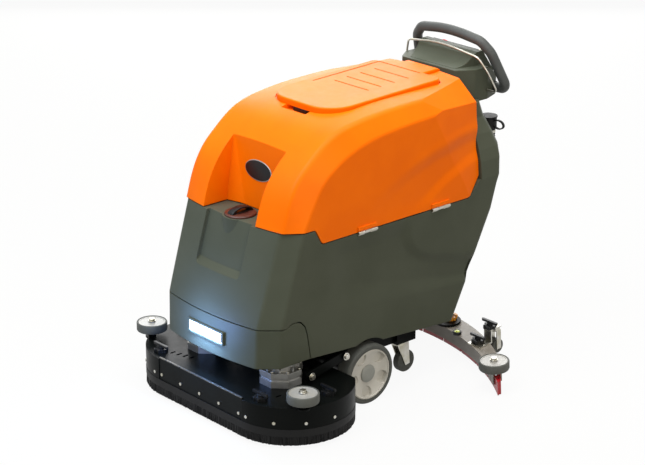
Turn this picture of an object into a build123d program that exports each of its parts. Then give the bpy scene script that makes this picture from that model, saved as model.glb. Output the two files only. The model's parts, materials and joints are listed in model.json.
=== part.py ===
from build123d import *
import os
from math import asin, cos, degrees, hypot, pi, radians, sin

os.makedirs("parts", exist_ok=True)

# Walk-behind floor scrubber dryer. Front is -Y, the machine's left side is +X, the floor is Z = 0.
# All sizes are millimetres.

# Body shell: height, half width, front and rear of each level of the tank and nose together
BODY_LEVELS = [
    (160, 261, -544, 276),
    (296, 264, -538, 341),
    (329, 264.5, -537, 346),
    (350, 265, -536, 356),
    (383, 266, -526, 377),
    (527, 268.5, -482, 446),
    (637, 270, -448, 478),
]
FRONT_BOW = 22           # how far the front bulges between its corners
CORNER_X = 50            # front corner chamfer across and along the machine
CORNER_Y = 55
REAR_CUT = 30            # chamfer of the rear corners
CORNER_R = 24            # rounding of the upright corner edges
TANK_WALL = 6
SEAM_GAP = 3             # gap between tank and hood, and around the nose
# Rear column behind the hood: height, half width, front and rear
COLUMN_FRONT = 369
COLUMN_LEVELS = [
    (560, 268, 300, 452),
    (637, 270.4, COLUMN_FRONT, 480),
    (694, 264, COLUMN_FRONT, 486),
    (731, 254, COLUMN_FRONT, 486),
    (778, 236, COLUMN_FRONT, 472),
    (823, 206, COLUMN_FRONT, 464),
    (868, 198, COLUMN_FRONT, 452),
]
FLOOR_FRONT = (-365, 222)   # (Y, Z) ends of the tank's sloping underside
FLOOR_REAR = (265, 173)

# Hood (recovery tank) side outlines as (Y, Z): middle, ridge and side
HOOD_REAR = 366
HOOD_MIDDLE = [(-489, 580), (-470, 640), (-438, 731), (-382, 810), (-340, 849), (-255, 910),
               (-160, 939), (-32, 953), (144, 957), (HOOD_REAR, 960)]
HOOD_RIDGE = [(-466, 580), (-447, 640), (-420, 728), (-372, 806), (-333, 842), (-251, 901),
              (-159, 926), (-32, 939), (144, 943), (HOOD_REAR, 946)]
HOOD_SIDE = [(-414, 580), (-394, 640), (-353, 716), (-316, 774), (-279, 806), (-205, 846),
             (-129, 870), (-10, 887), (150, 895), (HOOD_REAR, 898)]
RIDGE_X = 230
BODY_HALF = 270
HOOD_WALL = 6
HOOD_BASE = 590             # underside of the hood along the sides
SEAM_FRONT = 640            # underside of the hood at the front and at the rear
SEAM_REAR = 650
SEAM_STEP = [(-350, SEAM_FRONT), (-322, HOOD_BASE), (313, HOOD_BASE), (HOOD_REAR, SEAM_REAR)]
SEAM_R = 12                 # rounding of the seam's front steps and of its rear corner
SEAM_REAR_R = 24
HOOD_FOOT = 570             # lower end of the hood's sections, cut off later along the seam
SCOOP_HALF = 124            # front scoop above the filler
SCOOP_FOOT = (-351, SEAM_FRONT)
SCOOP_HEAD = (-336, 860)
SCOOP_CORNER = -368         # foot of the slanting corners between scoop wall and sides
SCOOP_FLAT = 54             # half width of the scoop wall at its foot
TAPER_TOP = 120             # where the facets of the rear corners start along the ridge, side and seam
TAPER_SIDE = 150
TAPER_FOOT = 316
TAPER_RIDGE = 943           # heights of the facets at the ridge and at the side edge
TAPER_DROP = 10             # fall of the upper facet to the rear
TAPER_EDGE = 891
TAPER_NARROW = 186          # half widths of the rear at the ridge and at the side edge
TAPER_WIDE = 239
RIDGE_R = 24                # rounding of the hood's ridges and of its side edges
SIDE_R = 18

# Lid on the hood
LID_SIZE = (310, 480)
LID_THICK = 20
LID_CENTRE = (55, 958)
LID_TILT = 1.9
LID_FRONT_R = 95
LID_REAR_R = 25
LID_HINGE = (360, 955)
LID_PIN_R = 4
LID_BARREL_R = 12
LID_GAP = 4                 # gap round the lid in its seat
LID_ROUND = 5
TONGUE_HALF = 70            # hinge tongue: half width, reach behind the lid, start and depth of its slot
TONGUE_LONG = 65
TONGUE_FRONT = 200
TONGUE_FLOOR = 931
SEAT = ((-170, -225, 908), (170, HOOD_REAR, 1000))      # solid under the lid
FINGER = ((-45, -210, 916), (65, -160, 1000))           # finger pocket in front of the lid
GROOVE = 6                  # width and depth of the grooves on the lid
GROOVE_DEPTH = 3
GROOVES = (-11, 43, 102, 164)
GROOVE_LONG = 160
EDGE_GROOVE = ((-125, 83), (-32, 230))                  # middles of the two legs of the long groove
EDGE_LONG = (294, 192)

# Filler
FILL_Y = -417
FILL_R = 44
CAP_R = 50
CAP_THICK = 7
CAP_ROUND = 3
PLUG_FOOT = 612             # plug under the cap: lower end, gap to the neck and wall
PLUG_GAP = 1
PLUG_WALL = 5
CAP_GRIP = (40, 22)         # half length and height of the arched grip, of the hole under it, and its width
CAP_HOLE = (22, 12)
CAP_GRIP_WIDE = 18

# Wheels
WHEEL_R = 100
WHEEL_Y = -122
WHEEL_IN = 219
WHEEL_OUT = 275
RIM_R = 84
HUB_R = 29
AXLE_R = 12
RUN_GAP = 0.05              # radial running clearance of every turning fit
CASTER_X = 162
CASTER_Y = 112
CASTER_TRAIL = 22
CASTER_R = 38
CASTER_WIDTH = 26

# Brush deck
DECK_Y = -394
DECK_R = 200
DECK_HALF = 204             # half the straight part of the deck
DECK_BACK = -230            # straight rear wall in front of the wheels
DECK_TOP = 137
DECK_EDGE = 66              # lower edge of the steel wall
STRIP_FOOT = 42
SKIRT_FOOT = 12
PLATE_FRONT = -592
SCREW_HEAD = 3
BRUSH_X = 178
BRUSH_Y = -411
BRUSH_R = 170
BUMPER = (371, -491)
BUMPER_R = 50
BUMPER_Z = (156, 186)
ARM_X = 246                 # inner side of the deck arms
ARM_THICK = 10
ARM_BACK = (-215, 186)
ARM_FRONT = (-358, 160)
TUBE_R = 7                  # cross tube between the arms
TUBE_AT = (-338, 163.6)
TUBE_PLAY = 6               # free travel of the tube along the rod's eye
TUBE_GAP = 0.8
PIN_R = 6
PIN_HEAD = (ARM_X + ARM_THICK + 0.5, ARM_X + ARM_THICK + 7)     # pin heads outside the arms
PIN_HEAD_R = 11

# Squeegee, in a plane tilted about X through the front blade's lower edge
SQ_Y = 378
SQ_Z = 16
SQ_TILT = 4.2
SQ_HALF = 512               # half width over the blades
SQ_BODY_HALF = 472
SQ_FRONT_R = 856            # radius of the front wall and depth of its centre
SQ_REAR_R = 700
SQ_DEPTH = 82
SQ_FOOT = 16
SQ_TOP = 60
BLADE_TOP = 48
SQ_WALL = 5
BLADE = 4
SQ_PIVOT = (165, 150)
SWING_Y = -42               # kingpin, measured in the squeegee's plane
ROLLER = (458, -122)
ROLLER_R = 50
GLIDE = (306, 46)           # small caster behind the squeegee
GLIDE_R = 25
PORT = (0, 40)              # spigot of the suction hose
PORT_R = 30
PORT_LEAN = 20              # backward lean of the spigot in degrees
PORT_COLLAR = 24            # height of its collar and of its whole length along its axis
PORT_END = 59

# Console, handle and controls
CONSOLE_BACK = 574
HANDLE_FOOT = (556, 880)    # (Y, Z) of the handle's plane at its ends
HANDLE_LEAN = 22            # forward lean in degrees
HANDLE_R = 16.5
BAIL_R = 3.5
BAIL_STEP = 50              # bail plane in front of the handle's
PANEL_TOP = (508, 1012)
PANEL_FOOT = (566, 932)

# Hinges on the left side
HINGE_X = 275
HINGE_Z = 588
HINGE_R = 5
HINGE_PIN_R = 2.5
HINGE_YS = (-139, 179)
HINGE_LENGTH = 78
HINGE_ROOM = (0.6, 60)      # gap round the barrel, and half the length of the room for it
HINGE_LEAF = (7, 6)         # leaves below and above the barrel's axis
HINGE_STEP = 16             # height of the step moulded above each hinge
WALL_X = 264                # inner face of the side walls at the hinges
LEAF_X = 270

# Reach of the tools that cut across the machine
BODY_REACH = 300
TOOL_FRONT = -700
TOOL_REAR = 500
TOOL_LOW = 100
TOOL_HIGH = 1000


def save(piece, name):
    """Label a finished piece and write it to its own file."""
    piece.label = name
    export_step(piece, f"parts/{name}.step")


def block(low, high):
    """Plain box between two opposite corners."""
    with BuildPart() as made:
        with BuildSketch(Plane.XY.offset(low[2])):
            with Locations(((low[0] + high[0]) / 2, (low[1] + high[1]) / 2)):
                Rectangle(high[0] - low[0], high[1] - low[1])
        extrude(amount=high[2] - low[2])
    return made.part


def rod(start, end, radius):
    """Round bar from one point to another."""
    run = Vector(*end) - Vector(*start)
    with BuildPart() as made:
        with BuildSketch(Plane(origin=start, z_dir=run)):
            Circle(radius)
        extrude(amount=run.length)
    return made.part


def side_prism(points, low, high, rounded=()):
    """Solid of a (Y, Z) outline between two X positions, with (corner, radius) pairs to round."""
    with BuildPart() as made:
        with BuildSketch(Plane.YZ.offset(low)) as outline:
            with BuildLine():
                Polyline(*points, close=True)
            make_face()
            for (y, z), radius in rounded:
                fillet(outline.vertices().sort_by_distance((y, z, 0))[0], radius)
        extrude(amount=high - low)
    return made.part


def flat_bar(start, end, width, low, high):
    """Round-ended bar between two (Y, Z) points, from one X position to another."""
    middle = ((start[0] + end[0]) / 2, (start[1] + end[1]) / 2)
    turn = degrees(asin((end[1] - start[1]) / hypot(end[0] - start[0], end[1] - start[1])))
    if end[0] < start[0]:
        turn = 180 - turn
    with BuildPart() as made:
        with BuildSketch(Plane.YZ.offset(low)):
            with Locations(Location(middle, turn)):
                SlotCenterToCenter(hypot(end[0] - start[0], end[1] - start[1]), width)
        extrude(amount=high - low)
    return made.part


def along(points, place):
    """Value at a place on a straight line through two (Y, Z) points."""
    (a, b), (c, d) = points
    return b + (place - a) * (d - b) / (c - a)


def moved_in(points, inset):
    """Side outline moved inwards by a wall thickness."""
    moved = []
    for i, (y, z) in enumerate(points):
        before = points[max(i - 1, 0)]
        after = points[min(i + 1, len(points) - 1)]
        run = hypot(after[0] - before[0], after[1] - before[1])
        moved.append((y + inset * (after[1] - before[1]) / run, z - inset * (after[0] - before[0]) / run))
    return moved


# Body form shared by the solution tank and the nose cover
def body_section(height, half, front, rear, inset):
    """Level outline with a bowed front and cut corners."""
    wide = half - inset
    near = front + inset
    far = rear - inset
    corner = wide - CORNER_X
    with BuildSketch(Plane.XY.offset(height)) as level:
        with BuildLine():
            ThreePointArc((-corner, near), (0, near - FRONT_BOW), (corner, near))
            Polyline(
                (corner, near), (wide, near + CORNER_Y), (wide, far - REAR_CUT), (wide - REAR_CUT, far),
                (REAR_CUT - wide, far), (-wide, far - REAR_CUT), (-wide, near + CORNER_Y), (-corner, near),
            )
        make_face()
        fillet(level.vertices(), CORNER_R)
    return level.sketch


def body_form(inset):
    """Whole body below the seam, or the space inside a wall of that thickness."""
    with BuildPart() as made:
        loft([body_section(*level, inset) for level in BODY_LEVELS], ruled=True)
    return made.part


def column_section(height, half, front, rear, inset):
    """Level outline of the rear column with cut rear corners."""
    wide = half - inset
    far = rear - inset
    with BuildSketch(Plane.XY.offset(height)) as level:
        with BuildLine():
            Polyline(
                (-wide, front + inset), (wide, front + inset), (wide, far - REAR_CUT), (wide - REAR_CUT, far),
                (REAR_CUT - wide, far), (-wide, far - REAR_CUT), close=True,
            )
        make_face()
        fillet(level.vertices().sort_by(Axis.Y)[2:], CORNER_R)
    return level.sketch


def column_form(inset):
    """Rear column that carries the console."""
    with BuildPart() as made:
        loft([column_section(*level, inset) for level in COLUMN_LEVELS], ruled=True)
    return made.part


# Space that the hood takes out of the tank, widened by the seam gap
HOOD_SPACE = [
    (-351.7, TOOL_HIGH), (-351.7, SEAM_FRONT - SEAM_GAP), (-323.7, HOOD_BASE - SEAM_GAP),
    (314.3, HOOD_BASE - SEAM_GAP), (COLUMN_FRONT, SEAM_REAR - 1), (COLUMN_FRONT, TOOL_HIGH),
]
TANK_CORNERS = [(HOOD_SPACE[1], SEAM_R - SEAM_GAP), (HOOD_SPACE[2], SEAM_R + SEAM_GAP),
                (HOOD_SPACE[3], SEAM_REAR_R + SEAM_GAP)]
FLOOR_LINE = (FLOOR_FRONT, FLOOR_REAR)
BELOW_FLOOR = [(TOOL_FRONT, along(FLOOR_LINE, TOOL_FRONT)), (TOOL_REAR, along(FLOOR_LINE, TOOL_REAR)),
               (TOOL_REAR, TOOL_LOW), (TOOL_FRONT, TOOL_LOW)]

NOSE_TOP = 347              # height of the nose's flat upper edge and rounding of its hump
NOSE_R = 26
NOSE_LINE = [(-468, 0), (-440, 11), (-410, 9), (-390, -12), (-380, -42)]   # (Y, height above that edge)
NOSE_FOOT = (-365, 223)
WELL = ((-205, -250, 240), (205, 300, TOOL_HIGH))
POCKET = ((-235, -505, TOOL_LOW), (235, -325, 362))
WATER_FOOT = 232            # bottom and top of the water inside
WATER_TOP = 624
ARCH_GAP = 18               # room round the wheels, and depth of the arches inside them
ARCH_IN = WHEEL_IN - 9
STEP_WALL = 8               # wall along the seam's steps
SOCKET = (-60, 540)         # (X, Z) of the suction hose's socket at the rear
SOCKET_R = 22
SOCKET_END = 476
SOCKET_DEPTH = 20
RECESS_HALF = 104           # shallow panel in the front under the filler
RECESS_DEPTH = 12
RECESS_FOOT = 494           # foot of its floor, and height of the sloping ledge below
RECESS_LEDGE = 22
RECESS_R = 20
RECESS_BACK = -430          # how far back its tool reaches
BOSS_R = CAP_R + 6          # round boss under the filler, and its lower end
BOSS_FOOT = 570
COLUMN_HOLLOW = 180         # half width of the hollow in the rear column


def nose_prism(grow):
    """Side form of the nose cover, grown by a gap on its upper and rear edges."""
    edge = [(y + grow if z < NOSE_LINE[1][1] else y, NOSE_TOP + z + grow) for y, z in NOSE_LINE]
    corners = [(TOOL_FRONT, NOSE_FOOT[1]), (TOOL_FRONT, NOSE_TOP + grow), *edge,
               (NOSE_FOOT[0] + grow, NOSE_FOOT[1])]
    return side_prism(corners, -BODY_REACH, BODY_REACH, [(corner, NOSE_R) for corner in edge])


def level_at(height):
    """Level of the body at any height between two stated ones."""
    for low, high in zip(BODY_LEVELS, BODY_LEVELS[1:]):
        if low[0] <= height <= high[0]:
            share = (height - low[0]) / (high[0] - low[0])
            return [a + share * (b - a) for a, b in zip(low, high)]


def recess(grow):
    """Tool for the recess that follows the bowed front, grown by a wall thickness."""
    deep = RECESS_DEPTH + grow
    floor = RECESS_FOOT - grow
    levels = [(floor - RECESS_LEDGE, -1), (floor, deep), (BODY_LEVELS[5][0], deep), (BODY_LEVELS[6][0], deep)]
    with BuildPart() as behind:
        loft([body_section(*level_at(height), inset) for height, inset in levels], ruled=True)
    with BuildPart() as made:
        add(block((-RECESS_HALF - grow, TOOL_FRONT, floor - RECESS_LEDGE),
                  (RECESS_HALF + grow, RECESS_BACK, BODY_LEVELS[6][0] + SEAM_GAP)))
        fillet(made.edges().filter_by(Axis.Y).group_by(Axis.Z)[0], RECESS_R)
        add(behind.part, mode=Mode.SUBTRACT)
    return made.part


def in_socket(start, end, radius):
    """Round piece along the hose socket, measured from its mouth."""
    return rod((SOCKET[0], SOCKET_END + start, SOCKET[1]), (SOCKET[0], SOCKET_END + end, SOCKET[1]), radius)


with BuildPart() as water_space:
    # Space for clean water round the battery well
    add(body_form(TANK_WALL))
    add(block((WELL[0][0] - TANK_WALL, WELL[0][1] - TANK_WALL, WELL[0][2] - TANK_WALL),
              (WELL[1][0] + TANK_WALL, WELL[1][1] + TANK_WALL, WELL[1][2])), mode=Mode.SUBTRACT)
    add(side_prism([(y - STEP_WALL if y < 0 else y + STEP_WALL, z - TANK_WALL) for y, z in HOOD_SPACE],
                   -BODY_REACH, BODY_REACH), mode=Mode.SUBTRACT)
    add(block((-BODY_REACH, TOOL_FRONT, WATER_TOP), (BODY_REACH, TOOL_REAR, TOOL_HIGH)), mode=Mode.SUBTRACT)
    add(block((-BODY_REACH, TOOL_FRONT, TOOL_LOW),
              (BODY_REACH, POCKET[1][1] + TANK_WALL, POCKET[1][2] + TANK_WALL)), mode=Mode.SUBTRACT)
    add(block((-BODY_REACH, TOOL_FRONT, TOOL_LOW), (BODY_REACH, TOOL_REAR, WATER_FOOT)), mode=Mode.SUBTRACT)
    add(recess(TANK_WALL), mode=Mode.SUBTRACT)
    with Locations((0, WHEEL_Y, WHEEL_R)):
        Cylinder(WHEEL_R + ARCH_GAP + STEP_WALL, 2 * BODY_REACH, rotation=(0, 90, 0), mode=Mode.SUBTRACT)

with BuildPart() as solution_tank:
    add(body_form(0))
    add(column_form(0))
    add(side_prism(HOOD_SPACE, -BODY_REACH, BODY_REACH, TANK_CORNERS), mode=Mode.SUBTRACT)
    add(side_prism(BELOW_FLOOR, -BODY_REACH, BODY_REACH), mode=Mode.SUBTRACT)
    add(nose_prism(SEAM_GAP), mode=Mode.SUBTRACT)
    add(block(*POCKET), mode=Mode.SUBTRACT)
    add(block(*WELL), mode=Mode.SUBTRACT)
    add(recess(0), mode=Mode.SUBTRACT)
    # Round boss that carries the filler
    add(rod((0, FILL_Y, BOSS_FOOT), (0, FILL_Y, SEAM_FRONT - SEAM_GAP), BOSS_R))
    add(water_space.part, mode=Mode.SUBTRACT)
    add(rod((0, FILL_Y, BOSS_FOOT), (0, FILL_Y, SEAM_FRONT), FILL_R), mode=Mode.SUBTRACT)
    # Socket of the suction hose and hollow of the rear column
    add(in_socket(-3 * SOCKET_DEPTH, 0, SOCKET_R + TANK_WALL))
    add(in_socket(-SOCKET_DEPTH, 1, SOCKET_R), mode=Mode.SUBTRACT)
    add(block((-COLUMN_HOLLOW, COLUMN_FRONT + TANK_WALL, COLUMN_LEVELS[0][0]),
              (COLUMN_HOLLOW, COLUMN_LEVELS[0][3] - STEP_WALL, COLUMN_LEVELS[-1][0] - TANK_WALL)),
        mode=Mode.SUBTRACT)
    # Wheel arches
    for low, high in ((ARCH_IN, BODY_REACH), (-BODY_REACH, -ARCH_IN)):
        add(rod((low, WHEEL_Y, WHEEL_R), (high, WHEEL_Y, WHEEL_R), WHEEL_R + ARCH_GAP), mode=Mode.SUBTRACT)
save(solution_tank.part, "solution_tank")

# Nose cover: a shell over the front of the brush motors, held by tabs inside the tank's pocket
NOSE_WALL = 5
LAMP_HALF = 86
LAMP_Z = (264, 309)
LAMP_MIDDLE = (0, (LAMP_Z[0] + LAMP_Z[1]) / 2)
LAMP_FRAME = 6              # width of the raised frame, and roundings outside and inside it
LAMP_R = (5, 3)
LAMP_FRONT = 566
LAMP_SUNK = 3               # how far the lens lies behind the frame, and its thickness
LAMP_THICK = 12
LAMP_DEPTH = 22             # depth of the frame
TAB_X = (230, 259)          # holding tabs: across, along and up
TAB_Y = (-380, -372, -330)
TAB_Z = (228, 268)
with BuildPart() as nose_inside:
    add(body_form(NOSE_WALL))
    add(block((-BODY_REACH, TOOL_FRONT, NOSE_TOP - NOSE_WALL), (BODY_REACH, TOOL_REAR, TOOL_HIGH)),
        mode=Mode.SUBTRACT)

with BuildPart() as nose_cover:
    add(body_form(0))
    add(nose_prism(0), mode=Mode.INTERSECT)
    add(nose_inside.part, mode=Mode.SUBTRACT)
    # Lamp window with a raised frame round it
    with BuildSketch(Plane.XZ.offset(LAMP_FRONT)):
        with Locations(LAMP_MIDDLE):
            RectangleRounded(2 * LAMP_HALF, LAMP_Z[1] - LAMP_Z[0], LAMP_R[0])
    extrude(amount=-LAMP_DEPTH)
    with BuildSketch(Plane.XZ.offset(LAMP_FRONT)):
        with Locations(LAMP_MIDDLE):
            RectangleRounded(2 * (LAMP_HALF - LAMP_FRAME), LAMP_Z[1] - LAMP_Z[0] - 2 * LAMP_FRAME, LAMP_R[1])
    extrude(amount=-2 * LAMP_DEPTH, mode=Mode.SUBTRACT)
    for side in (-1, 1):
        low, high = sorted((side * TAB_X[0], side * TAB_X[1]))
        add(block((low, TAB_Y[0], TAB_Z[0]), (high, TAB_Y[1], TAB_Z[1])))
        low, high = sorted((side * TAB_X[0], side * POCKET[1][0]))
        add(block((low, TAB_Y[0], TAB_Z[0]), (high, TAB_Y[2], TAB_Z[1])))
save(nose_cover.part, "nose_cover")

with BuildPart() as headlamp_lens:
    with BuildSketch(Plane.XZ.offset(LAMP_FRONT - LAMP_SUNK)):
        with Locations(LAMP_MIDDLE):
            RectangleRounded(2 * (LAMP_HALF - LAMP_FRAME), LAMP_Z[1] - LAMP_Z[0] - 2 * LAMP_FRAME, LAMP_R[1])
    extrude(amount=-LAMP_THICK)
save(headlamp_lens.part, "headlamp_lens")


# Recovery tank
def hood_face(x, outline):
    """Side section of the hood at one X position."""
    with BuildSketch(Plane.YZ.offset(x)) as face:
        with BuildLine():
            Spline(*outline)
            Polyline(outline[-1], (outline[-1][0], HOOD_FOOT), (outline[0][0], HOOD_FOOT), outline[0])
        make_face()
    return face.sketch


def plane_through(first, second, third):
    """Plane through three points, facing the side on which they run anticlockwise."""
    normal = (Vector(*second) - Vector(*first)).cross(Vector(*third) - Vector(*first))
    return Plane(origin=first, z_dir=normal)


def hood_form(inset):
    """Crowned hood with chamfered shoulders, or the space inside a wall of that thickness."""
    ridge = moved_in(HOOD_RIDGE, inset)
    flank = moved_in(HOOD_SIDE, inset)
    middle = moved_in(HOOD_MIDDLE, inset)
    shoulder = RIDGE_X - inset / 2
    edge = BODY_HALF - inset
    with BuildPart() as made:
        loft([hood_face(-shoulder, ridge), hood_face(0, middle), hood_face(shoulder, ridge)])
        loft([hood_face(shoulder, ridge), hood_face(edge, flank)], ruled=True)
        loft([hood_face(-shoulder, ridge), hood_face(-edge, flank)], ruled=True)
        if inset == 0:
            lines = [e for e in made.edges().filter_by(GeomType.BSPLINE) if e.bounding_box().size.X < 1]
            fillet([e for e in lines if abs(e.center().X) < edge - 1], RIDGE_R)
            lines = [e for e in made.edges().filter_by(GeomType.BSPLINE) if e.bounding_box().size.X < 1]
            fillet([e for e in lines if abs(e.center().X) > edge - 1], SIDE_R)
        # Rear corners taper in two flat facets on each side
        for side in (-1, 1):
            roof = [(side * (RIDGE_X - inset), TAPER_TOP, TAPER_RIDGE - inset),
                    (side * (TAPER_NARROW - inset), HOOD_REAR, TAPER_RIDGE - TAPER_DROP - inset),
                    (side * (TAPER_WIDE - inset), HOOD_REAR, TAPER_EDGE - inset)]
            wall = [(side * edge, TAPER_SIDE, TAPER_EDGE + 1),
                    (side * (TAPER_WIDE - inset), HOOD_REAR, TAPER_EDGE),
                    (side * edge, TAPER_FOOT, HOOD_BASE)]
            for facet in (roof, wall):
                split(bisect_by=plane_through(*facet), keep=Keep.TOP if side > 0 else Keep.BOTTOM)
    return made.part


BELOW_SEAM = [(TOOL_FRONT, SEAM_FRONT), *SEAM_STEP, (TOOL_REAR, SEAM_REAR), (TOOL_REAR, TOOL_LOW),
              (TOOL_FRONT, TOOL_LOW)]
HOOD_CORNERS = [(SEAM_STEP[0], SEAM_R), (SEAM_STEP[1], SEAM_R), (SEAM_STEP[2], SEAM_REAR_R)]
LID_PLANE = Plane(
    origin=(0, *LID_CENTRE), x_dir=(1, 0, 0), z_dir=(0, -sin(radians(LID_TILT)), cos(radians(LID_TILT)))
)


def scoop(grow):
    """Front scoop over the filler with slanting corners, grown into the hood by a wall thickness."""
    half = SCOOP_HALF + grow
    foot = SCOOP_FOOT[0] + grow
    head = SCOOP_HEAD[0] + grow
    with BuildPart() as made:
        add(side_prism([(TOOL_FRONT, HOOD_FOOT), (foot, HOOD_FOOT), (foot, SEAM_FRONT),
                        (head, SCOOP_HEAD[1] + grow), (head, TOOL_HIGH), (TOOL_FRONT, TOOL_HIGH)],
                       -half, half))
        for side in (-1, 1):
            corner = [(side * half, head, SCOOP_HEAD[1]), (side * half, SCOOP_CORNER + grow, SEAM_FRONT),
                      (side * SCOOP_FLAT, foot, SEAM_FRONT)]
            split(bisect_by=plane_through(*corner), keep=Keep.BOTTOM if side > 0 else Keep.TOP)
    return made.part


def lid_outline(plane, grow, tongue):
    """Lid seen from above, grown by a gap, with or without its hinge tongue."""
    with BuildSketch(plane) as outline:
        Rectangle(LID_SIZE[0] + 2 * grow, LID_SIZE[1] + 2 * grow)
        fillet(outline.vertices().group_by(Axis.Y)[0], LID_FRONT_R + grow)
        fillet(outline.vertices().group_by(Axis.Y)[-1], LID_REAR_R + grow)
        if tongue:
            with Locations((0, LID_SIZE[1] / 2)):
                Rectangle(2 * TONGUE_HALF + 2 * grow, 2 * TONGUE_LONG)
    return outline.sketch


MOUTH = ((-120, -120, 880), (120, 240, 1000))
with BuildPart() as hood_space:
    # Inside of the recovery tank
    add(hood_form(HOOD_WALL))
    add(side_prism([(y, z + HOOD_WALL) for y, z in BELOW_SEAM], -BODY_REACH, BODY_REACH), mode=Mode.SUBTRACT)
    add(block((-BODY_REACH, HOOD_REAR - HOOD_WALL, HOOD_FOOT), (BODY_REACH, TOOL_REAR, TOOL_HIGH)),
        mode=Mode.SUBTRACT)
    add(scoop(HOOD_WALL), mode=Mode.SUBTRACT)
    add(block(*SEAT), mode=Mode.SUBTRACT)

with BuildPart() as recovery_tank:
    add(hood_form(0))
    add(side_prism(BELOW_SEAM, -BODY_REACH, BODY_REACH, HOOD_CORNERS), mode=Mode.SUBTRACT)
    add(scoop(0), mode=Mode.SUBTRACT)
    add(hood_space.part, mode=Mode.SUBTRACT)
    # Seat of the lid, its mouth and the finger pocket
    extrude(lid_outline(LID_PLANE.offset(-LID_THICK), LID_GAP, False), amount=3 * LID_THICK,
            mode=Mode.SUBTRACT)
    add(block((-TONGUE_HALF - 3, TONGUE_FRONT, TONGUE_FLOOR), (TONGUE_HALF + 3, TOOL_REAR, TOOL_HIGH)),
        mode=Mode.SUBTRACT)
    add(block(*MOUTH), mode=Mode.SUBTRACT)
    add(block(*FINGER), mode=Mode.SUBTRACT)
    # Pin of the lid hinge across the tongue's slot
    add(rod((-TONGUE_HALF - 5, *LID_HINGE), (TONGUE_HALF + 5, *LID_HINGE), LID_PIN_R))
    # Steps moulded above the hinges
    for y in HINGE_YS:
        add(block((WALL_X, y - HINGE_LENGTH / 2, HOOD_BASE),
                  (HINGE_X, y + HINGE_LENGTH / 2, HOOD_BASE + HINGE_STEP)))
        add(rod((HINGE_X, y - HINGE_ROOM[1], HINGE_Z), (HINGE_X, y + HINGE_ROOM[1], HINGE_Z),
                HINGE_R + HINGE_ROOM[0]), mode=Mode.SUBTRACT)
save(recovery_tank.part, "recovery_tank")

with BuildPart() as tank_lid:
    extrude(lid_outline(LID_PLANE, 0, True), amount=-LID_THICK)
    fillet(tank_lid.faces().sort_by(Axis.Z)[-1].edges(), LID_ROUND)
    # Grip rails: one long L and four short grooves
    with BuildSketch(LID_PLANE):
        for y in GROOVES:
            with Locations((0, y)):
                SlotOverall(GROOVE_LONG, GROOVE)
        with Locations(EDGE_GROOVE[0]):
            Rectangle(GROOVE, EDGE_LONG[0])
        with Locations(EDGE_GROOVE[1]):
            Rectangle(EDGE_LONG[1], GROOVE)
    extrude(amount=-GROOVE_DEPTH, mode=Mode.SUBTRACT)
    # Hinge barrel under the tongue, and the room that the console leaves it
    add(rod((-TONGUE_HALF + 1, *LID_HINGE), (TONGUE_HALF - 1, *LID_HINGE), LID_BARREL_R))
    add(rod((-TONGUE_HALF, *LID_HINGE), (TONGUE_HALF, *LID_HINGE), LID_PIN_R + RUN_GAP), mode=Mode.SUBTRACT)
    add(block((-BODY_REACH, LID_HINGE[0] + LID_BARREL_R + 1, TOOL_LOW), (BODY_REACH, TOOL_REAR, TOOL_HIGH)),
        mode=Mode.SUBTRACT)
save(tank_lid.part, "tank_lid")

VACUUM = (-120, 235)
VACUUM_FOOT = HOOD_BASE + HOOD_WALL
FAN = (70, 70)              # radius and height of the fan housing, then of the motor on it
FAN_MOTOR = (50, 80)
with BuildPart() as vacuum_motor:
    # Suction motor and its fan housing on the floor of the recovery tank
    add(rod((*VACUUM, VACUUM_FOOT), (*VACUUM, VACUUM_FOOT + FAN[1]), FAN[0]))
    add(rod((*VACUUM, VACUUM_FOOT + FAN[1]), (*VACUUM, VACUUM_FOOT + FAN[1] + FAN_MOTOR[1]), FAN_MOTOR[0]))
save(vacuum_motor.part, "vacuum_motor")

with BuildPart() as tank_hinges:
    # Lower half of each hinge: barrel, pin and leaf let into the tank's side
    for y in HINGE_YS:
        half = HINGE_LENGTH / 2
        for low, high in ((y - half, y - half / 3), (y + half / 3, y + half)):
            add(rod((HINGE_X, low, HINGE_Z), (HINGE_X, high, HINGE_Z), HINGE_R))
            add(block((LEAF_X, low, HINGE_Z - HINGE_LEAF[0]), (HINGE_X, high, HINGE_Z)))
        add(rod((HINGE_X, y - half, HINGE_Z), (HINGE_X, y + half, HINGE_Z), HINGE_PIN_R))
save(tank_hinges.part, "tank_hinges")

with BuildPart() as hood_hinges:
    # Upper half of each hinge, on the hood
    for y in HINGE_YS:
        third = HINGE_LENGTH / 6 - 0.5
        add(rod((HINGE_X, y - third, HINGE_Z), (HINGE_X, y + third, HINGE_Z), HINGE_R))
        add(block((HINGE_X, y - third, HINGE_Z), (HINGE_X + HINGE_R, y + third, HINGE_Z + HINGE_LEAF[1])))
        add(rod((HINGE_X, y - third, HINGE_Z), (HINGE_X, y + third, HINGE_Z), HINGE_PIN_R + RUN_GAP),
            mode=Mode.SUBTRACT)
save(hood_hinges.part, "hood_hinges")

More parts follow.
